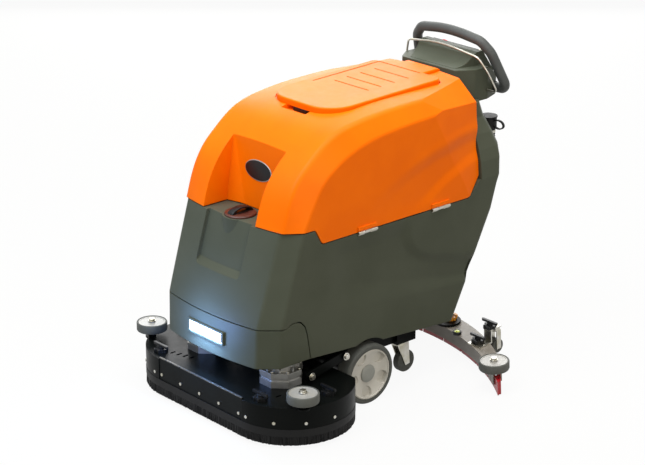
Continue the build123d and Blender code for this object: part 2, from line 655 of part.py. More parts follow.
with BuildPart() as fill_cap:
    with BuildSketch(Plane.XY.offset(SEAM_FRONT - SEAM_GAP)):
        with Locations((0, FILL_Y)):
            Circle(CAP_R)
    extrude(amount=CAP_THICK)
    fillet(fill_cap.faces().sort_by(Axis.Z)[-1].edges(), CAP_ROUND)
    add(rod((0, FILL_Y, PLUG_FOOT), (0, FILL_Y, SEAM_FRONT - SEAM_GAP), FILL_R - PLUG_GAP))
    add(rod((0, FILL_Y, PLUG_FOOT), (0, FILL_Y, SEAM_FRONT - SEAM_GAP - PLUG_WALL),
            FILL_R - PLUG_GAP - PLUG_WALL), mode=Mode.SUBTRACT)
    # Arched grip across the cap
    with BuildSketch(Plane.YZ.offset(-CAP_GRIP_WIDE / 2)):
        with Locations((FILL_Y, SEAM_FRONT)):
            Ellipse(*CAP_GRIP)
            Rectangle(2 * CAP_R, CAP_R, align=(Align.CENTER, Align.MAX), mode=Mode.SUBTRACT)
            Ellipse(*CAP_HOLE, mode=Mode.SUBTRACT)
    extrude(amount=CAP_GRIP_WIDE)
save(fill_cap.part, "fill_cap")

# Chassis frame under the tank
FRAME_SPAN = (-322, 262)    # front and rear of its plate, and the plate's thickness
FRAME_PLATE = 8
RAIL = (140, 184)           # inner and outer side of the rails, and their lower edge from rear to front
RAIL_SPAN = (-200, 255)
RAIL_FOOT = [(255, 150), (165, 150), (158, 124), (-40, 124), (-60, 160), (-200, 165)]
HANGER = ((WHEEL_Y - 40, 70), (WHEEL_Y + 40, 175))
HANGER_IN = 172
PAD = (34, 42, 170)         # caster pad: half width, half length and top
PAD_Z = 118.5
PLATE_TOP = 118             # top of the caster's swivel plate
KING_R = 8
KING_HOLE = 30
BEAM_HALF = 238             # cross beam with the pins of the deck arms
BEAM = ((-240, 174), (-200, 208))
EAR_SPAN = (62, 72)         # ears of the squeegee arm, and their foot as (Y, Z)
EAR_TOP = (140, 190)
EAR_FOOT = [(178, 136), (152, 136)]
AXLE_END = WHEEL_OUT - 13
AXLE_ROOM = 0.5             # gap round the axle in the hangers, and its inner end
AXLE_IN = 100


def under_floor(y, drop):
    """Point below the tank's sloping underside."""
    return (y, along(FLOOR_LINE, y) - drop)


with BuildPart() as chassis_frame:
    add(side_prism([under_floor(FRAME_SPAN[0], 0), under_floor(FRAME_SPAN[1], 0),
                    under_floor(FRAME_SPAN[1], FRAME_PLATE), under_floor(FRAME_SPAN[0], FRAME_PLATE)],
                   -RAIL[1], RAIL[1]))
    for side in (-1, 1):
        low, high = sorted((side * RAIL[0], side * RAIL[1]))
        add(side_prism([under_floor(RAIL_SPAN[0], FRAME_PLATE), under_floor(RAIL_SPAN[1], FRAME_PLATE),
                        *RAIL_FOOT], low, high))
        # Axle hanger, caster pad, pivots of the deck arms and of the squeegee arm
        inner, outer = sorted((side * HANGER_IN, side * RAIL[1]))
        add(block((inner, HANGER[0][0], HANGER[0][1]), (outer, HANGER[1][0], HANGER[1][1])))
        pad = side * CASTER_X
        add(block((pad - PAD[0], CASTER_Y - PAD[1], PAD_Z), (pad + PAD[0], CASTER_Y + PAD[1], PAD[2])))
        add(rod((pad, CASTER_Y, PAD_Z), (pad, CASTER_Y, PAD_Z + KING_HOLE), KING_R + RUN_GAP),
            mode=Mode.SUBTRACT)
        add(rod((side * BEAM_HALF, *ARM_BACK), (side * PIN_HEAD[0], *ARM_BACK), PIN_R))
        add(rod((side * PIN_HEAD[0], *ARM_BACK), (side * PIN_HEAD[1], *ARM_BACK), PIN_HEAD_R))
        inner, outer = sorted((side * EAR_SPAN[0], side * EAR_SPAN[1]))
        add(side_prism([under_floor(y, FRAME_PLATE / 2) for y in EAR_TOP] + EAR_FOOT, inner, outer))
        add(rod((side * AXLE_END, WHEEL_Y, WHEEL_R), (side * AXLE_IN, WHEEL_Y, WHEEL_R), AXLE_R + AXLE_ROOM),
            mode=Mode.SUBTRACT)
    add(rod((-EAR_SPAN[1], *SQ_PIVOT), (EAR_SPAN[1], *SQ_PIVOT), PIN_R))
    add(block((-BEAM_HALF, *BEAM[0]), (BEAM_HALF, *BEAM[1])))
save(chassis_frame.part, "chassis_frame")

TUBE_CASE_R = 34            # axle tube, gear case and drive motor
CASE = (40, 68)
MOTOR_RISE = 8
MOTOR_LONG = 210
MOTOR_R = 46
with BuildPart() as transaxle:
    # Drive motor, gear case and through axle
    add(rod((-HANGER_IN, WHEEL_Y, WHEEL_R), (HANGER_IN, WHEEL_Y, WHEEL_R), TUBE_CASE_R))
    add(rod((-CASE[0], WHEEL_Y, WHEEL_R), (CASE[0], WHEEL_Y, WHEEL_R), CASE[1]))
    add(rod((0, WHEEL_Y, WHEEL_R + MOTOR_RISE), (0, WHEEL_Y + MOTOR_LONG, WHEEL_R + MOTOR_RISE), MOTOR_R))
    add(rod((-AXLE_END, WHEEL_Y, WHEEL_R), (AXLE_END, WHEEL_Y, WHEEL_R), AXLE_R))
save(transaxle.part, "transaxle")

BATTERY_AT = ((-101, 101), (-112, 162))                 # middles across and along the well
BATTERY = (100, 134, 260)   # half width, half length and height
POST_AT = (60, 100)
POST = (18, 9)              # height and radius of a post
with BuildPart() as batteries:
    # Four blocks side by side in the well, each with two posts
    top = WELL[0][2] + BATTERY[2]
    for x in BATTERY_AT[0]:
        for y in BATTERY_AT[1]:
            add(block((x - BATTERY[0], y - BATTERY[1], WELL[0][2]), (x + BATTERY[0], y + BATTERY[1], top)))
            for post in (x - POST_AT[0], x + POST_AT[0]):
                add(rod((post, y + POST_AT[1], top), (post, y + POST_AT[1], top + POST[0]), POST[1]))
save(batteries.part, "batteries")


TYRE_ROUND = 9
RIM_LIP = 7                 # lip round the dish, depth of the dish and slope of its wall
RIM_DISH = 9
RIM_SLOPE = 20
RIM_POCKETS = 5             # pockets in the dish: number, first angle, place, radius and depth
POCKET_TURN = 47
POCKET_AT = RIM_R - 27
POCKET_R = 16
POCKET_DEEP = 4


# Drive wheels
def make_tyre(side):
    """Tyre with rounded shoulders on one side of the machine."""
    with BuildPart() as tyre:
        with BuildSketch(Plane.YZ.offset(side * WHEEL_IN)):
            with Locations((WHEEL_Y, WHEEL_R)):
                Circle(WHEEL_R)
        extrude(amount=side * (WHEEL_OUT - WHEEL_IN))
        fillet(tyre.edges().filter_by(GeomType.CIRCLE), TYRE_ROUND)
        add(rod((side * WHEEL_IN, WHEEL_Y, WHEEL_R), (side * (WHEEL_OUT + 2), WHEEL_Y, WHEEL_R), RIM_R),
            mode=Mode.SUBTRACT)
    return tyre.part


def make_rim(side):
    """Dished rim with a ring of round pockets and a round hub cap."""
    with BuildPart() as rim:
        add(rod((side * WHEEL_IN, WHEEL_Y, WHEEL_R), (side * (WHEEL_OUT - 1), WHEEL_Y, WHEEL_R), RIM_R))
        with BuildSketch(Plane.YZ.offset(side * (WHEEL_OUT - 1))):
            with Locations((WHEEL_Y, WHEEL_R)):
                Circle(RIM_R - RIM_LIP)
                Circle(HUB_R + 2, mode=Mode.SUBTRACT)
        extrude(amount=-side * RIM_DISH, taper=RIM_SLOPE, mode=Mode.SUBTRACT)
        with BuildSketch(Plane.YZ.offset(side * (WHEEL_OUT - 1 - RIM_DISH))):
            with Locations((WHEEL_Y, WHEEL_R)):
                with PolarLocations(POCKET_AT, RIM_POCKETS, start_angle=POCKET_TURN):
                    Circle(POCKET_R)
        extrude(amount=-side * POCKET_DEEP, mode=Mode.SUBTRACT)
        add(rod((side * WHEEL_IN, WHEEL_Y, WHEEL_R), (side * (AXLE_END + 1), WHEEL_Y, WHEEL_R),
                AXLE_R + RUN_GAP), mode=Mode.SUBTRACT)
        cap = side * (WHEEL_OUT - 2), side * (WHEEL_OUT + 1)
        add(rod((cap[0], WHEEL_Y, WHEEL_R), (cap[1], WHEEL_Y, WHEEL_R), HUB_R))
    return rim.part


FORK_R = 30                 # swivel plate of a caster: radius and thickness, then length of the kingpin
FORK_PLATE = 12
KING_LONG = 24
LEG_GAP = 1.5               # gap beside the wheel and thickness of a fork leg
LEG = 3.5
LEG_TOP = (-22, 27, 8)      # front and rear of a leg from the kingpin, and drop from the plate's top
LEG_FOOT = [(11, -8), (-8, -11)]                        # lower corners from the axle as (Y, Z)
CASTER_PIN = 5
CASTER_ROUND = 5


# Rear casters
def make_fork(side):
    """Swivel fork with kingpin and wheel axle."""
    x = side * CASTER_X
    axle = CASTER_Y + CASTER_TRAIL
    leg = CASTER_WIDTH / 2 + LEG_GAP
    head = PLATE_TOP - LEG_TOP[2]
    outline = [(CASTER_Y + LEG_TOP[0], head), (CASTER_Y + LEG_TOP[1], head)]
    outline += [(axle + y, CASTER_R + z) for y, z in LEG_FOOT]
    with BuildPart() as fork:
        add(rod((x, CASTER_Y, PLATE_TOP - FORK_PLATE), (x, CASTER_Y, PLATE_TOP), FORK_R))
        add(rod((x, CASTER_Y, PLATE_TOP), (x, CASTER_Y, PLATE_TOP + KING_LONG), KING_R))
        for out in (-1, 1):
            add(side_prism(outline, *sorted((x + out * leg, x + out * (leg + LEG)))))
        end = leg + LEG + 0.5
        add(rod((x - end, axle, CASTER_R), (x + end, axle, CASTER_R), CASTER_PIN))
    return fork.part


def make_caster_wheel(side):
    """Caster wheel on the fork's axle."""
    x = side * CASTER_X
    axle = CASTER_Y + CASTER_TRAIL
    half = CASTER_WIDTH / 2
    with BuildPart() as wheel:
        add(rod((x - half, axle, CASTER_R), (x + half, axle, CASTER_R), CASTER_R))
        fillet(wheel.edges().filter_by(GeomType.CIRCLE), CASTER_ROUND)
        add(rod((x - half, axle, CASTER_R), (x + half, axle, CASTER_R), CASTER_PIN + RUN_GAP),
            mode=Mode.SUBTRACT)
    return wheel.part


for side, hand in ((1, "left"), (-1, "right")):
    save(make_tyre(side), f"{hand}_tyre")
    save(make_rim(side), f"{hand}_rim")
    save(make_fork(side), f"{hand}_caster_fork")
    save(make_caster_wheel(side), f"{hand}_caster_wheel")


# Brush deck
def deck_slab(radius, low, high):
    """Round-ended slab of the deck's plan."""
    with BuildPart() as slab:
        with BuildSketch(Plane.XY.offset(low)):
            with Locations((0, DECK_Y)):
                SlotCenterToCenter(2 * DECK_HALF, 2 * radius)
            with Locations((0, DECK_BACK + radius - DECK_R)):
                Rectangle(4 * DECK_HALF, 2 * DECK_R, align=(Align.CENTER, Align.MAX), mode=Mode.INTERSECT)
        extrude(amount=high - low)
    return slab.part


PLATE_BACK = PLATE_FRONT + 6
PLATE_RISE = 5              # how far the front plate stands above the deck, and the gap at its ends
PLATE_GAP = 0.5
DECK_WALL = 5
DECK_SHEET = 6
SHAFT_HOLE_R = 34
POST_FOOT_R = 22            # bumper post: foot, neck, bolt and bolt head
POST_NECK_R = 13
BOLT_R = 5
BOLT_HEAD_R = 9
BOLT_HEAD = 7
EAR_X = 234                 # ears of the lift arms: inner side, half widths at foot and head, and top
EAR_HALF = (15, 12)
EAR_HEAD = 172
SLOT_SIZE = (22, 8)         # slots behind the front plate
DECK_SLOTS = [(-212, -530), (-188, -524), (-164, -517), (-140, -510), (263, -495)]
with BuildPart() as deck_housing:
    add(deck_slab(DECK_R, DECK_EDGE, DECK_TOP))
    add(deck_slab(DECK_R - DECK_WALL, DECK_EDGE, DECK_TOP - DECK_SHEET), mode=Mode.SUBTRACT)
    add(block((-DECK_HALF, DECK_Y - DECK_R, DECK_EDGE), (DECK_HALF, PLATE_BACK, DECK_TOP)),
        mode=Mode.SUBTRACT)
    for side in (-1, 1):
        # Passage of the brush shaft, bumper post and ears of the lift arms
        shaft = (side * BRUSH_X, BRUSH_Y)
        add(rod((*shaft, DECK_EDGE), (*shaft, DECK_TOP), SHAFT_HOLE_R), mode=Mode.SUBTRACT)
        post = (side * BUMPER[0], BUMPER[1])
        add(rod((*post, DECK_TOP - DECK_SHEET), (*post, DECK_TOP), POST_FOOT_R))
        add(rod((*post, DECK_TOP), (*post, BUMPER_Z[0] - 0.5), POST_NECK_R))
        add(rod((*post, DECK_TOP), (*post, BUMPER_Z[1] + 1), BOLT_R))
        add(rod((*post, BUMPER_Z[1] + 0.5), (*post, BUMPER_Z[1] + BOLT_HEAD), BOLT_HEAD_R))
        inner, outer = sorted((side * EAR_X, side * (ARM_X - 0.5)))
        y = ARM_FRONT[0]
        add(side_prism([(y - EAR_HALF[0], DECK_TOP - 2), (y + EAR_HALF[0], DECK_TOP - 2),
                        (y + EAR_HALF[1], EAR_HEAD), (y - EAR_HALF[1], EAR_HEAD)], inner, outer))
        add(rod((side * EAR_X, *ARM_FRONT), (side * PIN_HEAD[0], *ARM_FRONT), PIN_R))
        add(rod((side * PIN_HEAD[0], *ARM_FRONT), (side * PIN_HEAD[1], *ARM_FRONT), PIN_HEAD_R))
    # Slots behind the front plate
    with BuildSketch(Plane.XY.offset(DECK_TOP)):
        with Locations(*DECK_SLOTS):
            SlotOverall(*SLOT_SIZE, rotation=90)
    extrude(amount=-2 * DECK_SHEET, mode=Mode.SUBTRACT)
save(deck_housing.part, "deck_housing")

with BuildPart() as front_plate:
    add(block((PLATE_GAP - DECK_HALF, PLATE_FRONT, DECK_EDGE),
              (DECK_HALF - PLATE_GAP, PLATE_BACK, DECK_TOP + PLATE_RISE)))
save(front_plate.part, "front_plate")

STRIP_THICK = 8
with BuildPart() as skirt_strip:
    # Rubber strip all round under the steel wall
    add(deck_slab(DECK_R + 1, STRIP_FOOT, DECK_EDGE))
    add(deck_slab(DECK_R + 1 - STRIP_THICK, STRIP_FOOT, DECK_EDGE), mode=Mode.SUBTRACT)
save(skirt_strip.part, "skirt_strip")

BACKING = 4                 # slice of the strands' backing, and its inner edge from the deck's side
BACKING_IN = 6
STRAND_IN = 3.5             # line of the strands from the deck's side
SKIRT_STRANDS = 336
STRAND = 2.6
with BuildPart() as skirt_bristles:
    # Bristles all round the deck, standing in a slice of their backing
    add(deck_slab(DECK_R - 1, STRIP_FOOT - BACKING, STRIP_FOOT))
    add(deck_slab(DECK_R - BACKING_IN, STRIP_FOOT - BACKING, STRIP_FOOT), mode=Mode.SUBTRACT)
    skirt_line = DECK_R - STRAND_IN
    reach = asin((DECK_BACK - STRAND_IN - DECK_Y) / skirt_line)
    back_half = DECK_HALF + skirt_line * cos(reach)
    arc = (pi / 2 + reach) * skirt_line
    run = 2 * DECK_HALF + 2 * arc + 2 * back_half
    roots = []
    for i in range(SKIRT_STRANDS):
        s = i * run / SKIRT_STRANDS
        if s < 2 * DECK_HALF:
            roots.append((s - DECK_HALF, DECK_Y - skirt_line))
        elif s < 2 * DECK_HALF + arc:
            turn = (s - 2 * DECK_HALF) / skirt_line - pi / 2
            roots.append((DECK_HALF + skirt_line * cos(turn), DECK_Y + skirt_line * sin(turn)))
        elif s < 2 * DECK_HALF + arc + 2 * back_half:
            roots.append((back_half - (s - 2 * DECK_HALF - arc), DECK_BACK - STRAND_IN))
        else:
            turn = pi - reach + (s - 2 * DECK_HALF - arc - 2 * back_half) / skirt_line
            roots.append((skirt_line * cos(turn) - DECK_HALF, DECK_Y + skirt_line * sin(turn)))
    with Locations(*[(x, y, SKIRT_FOOT) for x, y in roots]):
        Box(STRAND, STRAND, STRIP_FOOT - SKIRT_FOOT - 1, align=(Align.CENTER, Align.CENTER, Align.MIN))
save(skirt_bristles.part, "skirt_bristles")

SCREW_R = 5
SCREW_Z = DECK_EDGE + 20
PLATE_SCREWS = (-190, -95, 0, 95, 190)
WALL_SCREWS = (-84, -56, -28, 0)        # round the curved ends, in degrees
with BuildPart() as deck_screws:
    # Round-head screws along the lower edge of the wall and of the front plate
    for x in PLATE_SCREWS:
        add(rod((x, PLATE_FRONT, SCREW_Z), (x, PLATE_FRONT - SCREW_HEAD, SCREW_Z), SCREW_R))
    for side in (-1, 1):
        for turn in WALL_SCREWS:
            out = Vector(side * cos(radians(turn)), sin(radians(turn)), 0)
            foot = Vector(side * DECK_HALF, DECK_Y, SCREW_Z) + out * (DECK_R - 1)
            add(rod(tuple(foot), tuple(foot + out * (SCREW_HEAD + 1)), SCREW_R))
    add(deck_housing.part, mode=Mode.SUBTRACT)
save(deck_screws.part, "deck_screws")

GEARBOX_R = 70
GEARBOX = ((0, 22, 0), (22, 30, 5), (30, 48, 0))        # foot, head and inset of each layer of the octagon
RIB = (46, 6, 10)           # length, width and height of the ribs on top, and their place
RIB_AT = 34
MOTOR_TOP = 300
SHAFT_FOOT = 84
with BuildPart() as gearmotors:
    # Ribbed gearbox with its motor above and the brush shaft below, one on each side
    for side in (-1, 1):
        middle = (side * BRUSH_X, BRUSH_Y)
        for low, high, inset in GEARBOX:
            with BuildSketch(Plane.XY.offset(DECK_TOP + low)):
                with Locations(middle):
                    RegularPolygon(GEARBOX_R - inset, 8, rotation=180 / 8)
            extrude(amount=high - low)
        roof = DECK_TOP + GEARBOX[-1][1]
        with BuildSketch(Plane.XY.offset(roof)):
            with Locations(middle):
                with PolarLocations(RIB_AT, 8):
                    Rectangle(RIB[0], RIB[1])
        extrude(amount=RIB[2])
        add(rod((*middle, roof), (*middle, MOTOR_TOP), MOTOR_R))
        add(rod((*middle, SHAFT_FOOT), (*middle, DECK_TOP), AXLE_R))
save(gearmotors.part, "gearmotors")

KNOB = (18, 12)             # radius and height of a knob's skirt, with the lobes round it
LOBES = (6, 5)
NECK = (10, 6)              # radius and height of its neck
WING = (36, 9, 8, 16)       # length, width, height and place of its wings


def wing_knob(plane):
    """Wing knob standing on a plane: lobed skirt, neck and two raised wings."""
    with BuildPart() as knob:
        with BuildSketch(plane):
            Circle(KNOB[0])
            with PolarLocations(KNOB[0], LOBES[0]):
                Circle(LOBES[1])
        extrude(amount=KNOB[1])
        with BuildSketch(plane.offset(KNOB[1])):
            Circle(NECK[0])
        extrude(amount=NECK[1])
        with BuildSketch(plane.offset(KNOB[1] + NECK[1])):
            with Locations((-WING[3], 0), (WING[3], 0)):
                SlotOverall(WING[0], WING[1])
        extrude(amount=WING[2])
    return knob.part


DECK_KNOBS = [(-245, -552), (245, -552), (352, -372), (-352, -372)]
with BuildPart() as deck_knobs:
    for x, y in DECK_KNOBS:
        add(wing_knob(Plane(origin=(x, y, DECK_TOP))))
save(deck_knobs.part, "deck_knobs")


BUMPER_ROUND = 5            # rounding of a bumper wheel, width of its rim and depth of its face
BUMPER_RIM = 5
BUMPER_SUNK = 2


def make_bumper(centre):
    """Bumper wheel: rubber ring over a plastic disc, in one overmoulded piece."""
    low, high = BUMPER_Z
    with BuildPart() as wheel:
        add(rod((*centre, low), (*centre, high), BUMPER_R))
        fillet(wheel.edges().filter_by(GeomType.CIRCLE), BUMPER_ROUND)
        add(rod((*centre, high - BUMPER_SUNK), (*centre, high), BUMPER_R - BUMPER_RIM), mode=Mode.SUBTRACT)
        add(rod((*centre, low), (*centre, high), BOLT_R + RUN_GAP), mode=Mode.SUBTRACT)
    return wheel.part


BRUSH_Z = (62, 80, 104)     # foot and top of the backing disc, and top of the hub
BRUSH_HUB_R = 30
TUFT = (8, 52)              # width and length of a tuft
TUFT_RINGS = ((162, 36), (130, 26), (98, 20))


def make_brush(side):
    """Disc brush: backing disc with hub and rings of bristle tufts."""
    x = side * BRUSH_X
    with BuildPart() as brush:
        add(rod((x, BRUSH_Y, BRUSH_Z[0]), (x, BRUSH_Y, BRUSH_Z[1]), BRUSH_R))
        add(rod((x, BRUSH_Y, BRUSH_Z[1]), (x, BRUSH_Y, BRUSH_Z[2]), BRUSH_HUB_R))
        tufts = []
        for radius, count in TUFT_RINGS:
            for i in range(count):
                turn = 2 * pi * i / count
                tufts.append((x + radius * cos(turn), BRUSH_Y + radius * sin(turn), SKIRT_FOOT))
        with Locations(*tufts):
            Box(TUFT[0], TUFT[0], TUFT[1], align=(Align.CENTER, Align.CENTER, Align.MIN))
        add(rod((x, BRUSH_Y, BRUSH_Z[0]), (x, BRUSH_Y, BRUSH_Z[2]), AXLE_R + RUN_GAP), mode=Mode.SUBTRACT)
    return brush.part


for side, hand in ((1, "left"), (-1, "right")):
    save(make_bumper((side * BUMPER[0], BUMPER[1])), f"{hand}_bumper_wheel")
    save(make_brush(side), f"{hand}_brush")

ARM_WIDE = 30
with BuildPart() as deck_arms:
    # Lift arms on both sides, joined by a cross tube that the actuator pulls
    for side in (-1, 1):
        low, high = sorted((side * ARM_X, side * (ARM_X + ARM_THICK)))
        add(flat_bar(ARM_BACK, ARM_FRONT, ARM_WIDE, low, high))
        for y, z in (ARM_BACK, ARM_FRONT):
            add(rod((low, y, z), (high, y, z), PIN_R + RUN_GAP), mode=Mode.SUBTRACT)
    add(rod((-ARM_X, *TUBE_AT), (ARM_X, *TUBE_AT), TUBE_R))
save(deck_arms.part, "deck_arms")

ROD_R = 8
ROD_TOP = 290
LIFT_BACK = 7               # lift cylinder: axis in front of the rod's, ends, radius and bracket
LIFT_Z = (232, 352)
LIFT_R = 17
LIFT_HOLE = 330
LIFT_BRACKET = (22, 300, 340)
EYE = (10, 15, -13, 16)     # half width, half length, foot and head of the rod's eye from the tube
ROD_FOOT = 12
with BuildPart() as deck_actuator:
    # Electric lift cylinder bolted to the back of the pocket behind the nose
    axis = TUBE_AT[0] - LIFT_BACK
    add(rod((0, axis, LIFT_Z[0]), (0, axis, LIFT_Z[1]), LIFT_R))
    add(block((-LIFT_BRACKET[0], axis, LIFT_BRACKET[1]), (LIFT_BRACKET[0], POCKET[1][1], LIFT_BRACKET[2])))
    add(rod((0, TUBE_AT[0], LIFT_Z[0]), (0, TUBE_AT[0], LIFT_HOLE), ROD_R + RUN_GAP), mode=Mode.SUBTRACT)
save(deck_actuator.part, "deck_actuator")

with BuildPart() as actuator_rod:
    # Push rod with a long eye round the cross tube
    add(rod((0, TUBE_AT[0], TUBE_AT[1] + ROD_FOOT), (0, TUBE_AT[0], ROD_TOP), ROD_R))
    add(block((-EYE[0], TUBE_AT[0] - EYE[1], TUBE_AT[1] + EYE[2]),
              (EYE[0], TUBE_AT[0] + EYE[1], TUBE_AT[1] + EYE[3])))
    eye = (TUBE_AT[0] - TUBE_PLAY / 2, TUBE_AT[1]), (TUBE_AT[0] + TUBE_PLAY / 2, TUBE_AT[1])
    add(flat_bar(*eye, 2 * (TUBE_R + TUBE_GAP), -EYE[0], EYE[0]), mode=Mode.SUBTRACT)
save(actuator_rod.part, "actuator_rod")

# Squeegee
SQ = Plane(
    origin=(0, SQ_Y, SQ_Z), x_dir=(1, 0, 0), z_dir=(0, -sin(radians(SQ_TILT)), cos(radians(SQ_TILT)))
)
SQ_REAR_C = SQ_DEPTH - SQ_REAR_R
SQ_REACH = 600              # reach of the tools across the squeegee


def squeegee_point(x, y, z):
    """Place of a point given in the squeegee's plane."""
    return tuple(SQ.from_local_coords((x, y, z)))


def squeegee_seat(x, y, z):
    """Plane parallel to the squeegee's, through a point given in it."""
    return Plane(origin=squeegee_point(x, y, z), x_dir=SQ.x_dir, z_dir=SQ.z_dir)


def crescent(low, high, front, rear, half):
    """Curved bar between two arcs, each moved in by its own amount, in the squeegee's plane."""
    with BuildPart() as made:
        with BuildSketch(SQ.offset(low)):
            with Locations((0, SQ_REAR_C)):
                Circle(SQ_REAR_R - rear)
            with Locations((0, -SQ_FRONT_R)):
                Circle(SQ_FRONT_R + front, mode=Mode.SUBTRACT)
            Rectangle(2 * half, SQ_REACH, mode=Mode.INTERSECT)
        extrude(amount=high - low)
    return made.part


def blade(centre, inner, outer):
    """Curved blade between two radii."""
    with BuildPart() as made:
        with BuildSketch(SQ):
            with Locations((0, centre)):
                Circle(outer)
                Circle(inner, mode=Mode.SUBTRACT)
            Rectangle(2 * SQ_HALF, SQ_REACH, mode=Mode.INTERSECT)
        extrude(amount=BLADE_TOP)
    return made.part


def squeegee_rod(x, y, low, high, radius):
    """Round boss square to the squeegee's plane."""
    with BuildPart() as made:
        with BuildSketch(SQ.offset(low)):
            with Locations((x, y)):
                Circle(radius)
        extrude(amount=high - low)
    return made.part


def squeegee_block(low, high):
    """Box in the squeegee's plane between two opposite corners."""
    with BuildPart() as made:
        with BuildSketch(SQ.offset(low[2])):
            with Locations(((low[0] + high[0]) / 2, (low[1] + high[1]) / 2)):
                Rectangle(high[0] - low[0], high[1] - low[1])
        extrude(amount=high[2] - low[2])
    return made.part


SQ_ROOF = 8                 # thickness of the body's upper wall
KNOB_AT = (102, 40)         # hand nuts of the bracket
ROLLER_Z = (SQ_TOP + 4, SQ_TOP + 34)
ROLLER_NECK_R = 14


def roller_at(side):
    """Place of an end roller in the squeegee's plane."""
    return side * ROLLER[0], ROLLER[1]


PORT_FOOT = Vector(*squeegee_point(*PORT, SQ_TOP))
PORT_UP = Vector(0, sin(radians(PORT_LEAN)), cos(radians(PORT_LEAN)))


def on_port(low, high, radius):
    """Round piece along the spigot's axis."""
    return rod(tuple(PORT_FOOT + PORT_UP * low), tuple(PORT_FOOT + PORT_UP * high), radius)


PORT_LIP = 0.8              # how much wider the spigot's collar is
PORT_WALL = 7
with BuildPart() as spigot:
    add(on_port(-PORT_R, PORT_COLLAR, PORT_R + PORT_LIP))
    add(on_port(PORT_COLLAR, PORT_END, PORT_R))
    add(squeegee_block((-SQ_REACH, -SQ_REACH, -SQ_TOP), (SQ_REACH, SQ_REACH, SQ_TOP - SQ_ROOF + 2)),
        mode=Mode.SUBTRACT)

with BuildPart() as squeegee_body:
    add(crescent(SQ_FOOT, SQ_TOP, 0, 0, SQ_BODY_HALF))
    add(crescent(SQ_FOOT, SQ_TOP - SQ_ROOF, SQ_WALL, SQ_WALL, SQ_HALF), mode=Mode.SUBTRACT)
    for side in (-1, 1):
        # Roller post and its bolt head
        add(squeegee_rod(*roller_at(side), SQ_TOP - SQ_ROOF, ROLLER_Z[0] - 0.5, ROLLER_NECK_R))
        add(squeegee_rod(*roller_at(side), SQ_TOP, ROLLER_Z[1] + 1, BOLT_R))
        add(squeegee_rod(*roller_at(side), ROLLER_Z[1] + 0.5, ROLLER_Z[1] + BOLT_HEAD, BOLT_HEAD_R))
    # Spigot for the suction hose, leaning back
    add(spigot.part)
    add(on_port(-PORT_R, PORT_END + 1, PORT_R - PORT_WALL), mode=Mode.SUBTRACT)
save(squeegee_body.part, "squeegee_body")

NOTCHES = 9                 # notches: number, spread in degrees, length, width across the blade and height
NOTCH_SPREAD = 56
NOTCH = (20, 6, 11)
with BuildPart() as front_blade:
    add(blade(-SQ_FRONT_R, SQ_FRONT_R + SQ_WALL, SQ_FRONT_R + SQ_WALL + BLADE))
    # Water passes under the front blade through notches
    with BuildSketch(SQ):
        with Locations((0, -SQ_FRONT_R)):
            with PolarLocations(SQ_FRONT_R + SQ_WALL, NOTCHES, start_angle=90 - NOTCH_SPREAD / 2,
                                angular_range=NOTCH_SPREAD, endpoint=True):
                Rectangle(NOTCH[0], NOTCH[1])
    extrude(amount=NOTCH[2], mode=Mode.SUBTRACT)
save(front_blade.part, "front_blade")

with BuildPart() as rear_blade:
    add(blade(SQ_REAR_C, SQ_REAR_R - SQ_WALL - BLADE, SQ_REAR_R - SQ_WALL))
save(rear_blade.part, "rear_blade")

SWING_PLATE = 8
SWING_WIDE = 84             # width of the plate, middle of its bar and size of its tongue
SWING_BAR = 30
SWING_TONGUE = (70, 90)
PORT_ROOM = 7               # room round the spigot
PORT_SHIFT = (2, 8)
with BuildPart() as swing_bracket:
    # Black plate on the body that turns on the kingpin of the lift arm
    with BuildSketch(SQ.offset(SQ_TOP)):
        with Locations((0, SWING_BAR)):
            SlotCenterToCenter(2 * KNOB_AT[0], SWING_WIDE)
        with Locations((0, SWING_Y)):
            Rectangle(*SWING_TONGUE)
        with Locations((PORT[0], PORT[1] + PORT_SHIFT[0])):
            SlotCenterToCenter(PORT_SHIFT[1], 2 * PORT_R + PORT_ROOM, rotation=90, mode=Mode.SUBTRACT)
    extrude(amount=SWING_PLATE)
    add(squeegee_rod(0, SWING_Y, SQ_TOP, SQ_TOP + SWING_PLATE, KING_R + RUN_GAP), mode=Mode.SUBTRACT)
save(swing_bracket.part, "swing_bracket")

with BuildPart() as bracket_knobs:
    # Yellow hand nuts that hold the body to its bracket
    for x in (-KNOB_AT[0], KNOB_AT[0]):
        add(wing_knob(squeegee_seat(x, KNOB_AT[1], SQ_TOP + SWING_PLATE)))
save(bracket_knobs.part, "bracket_knobs")

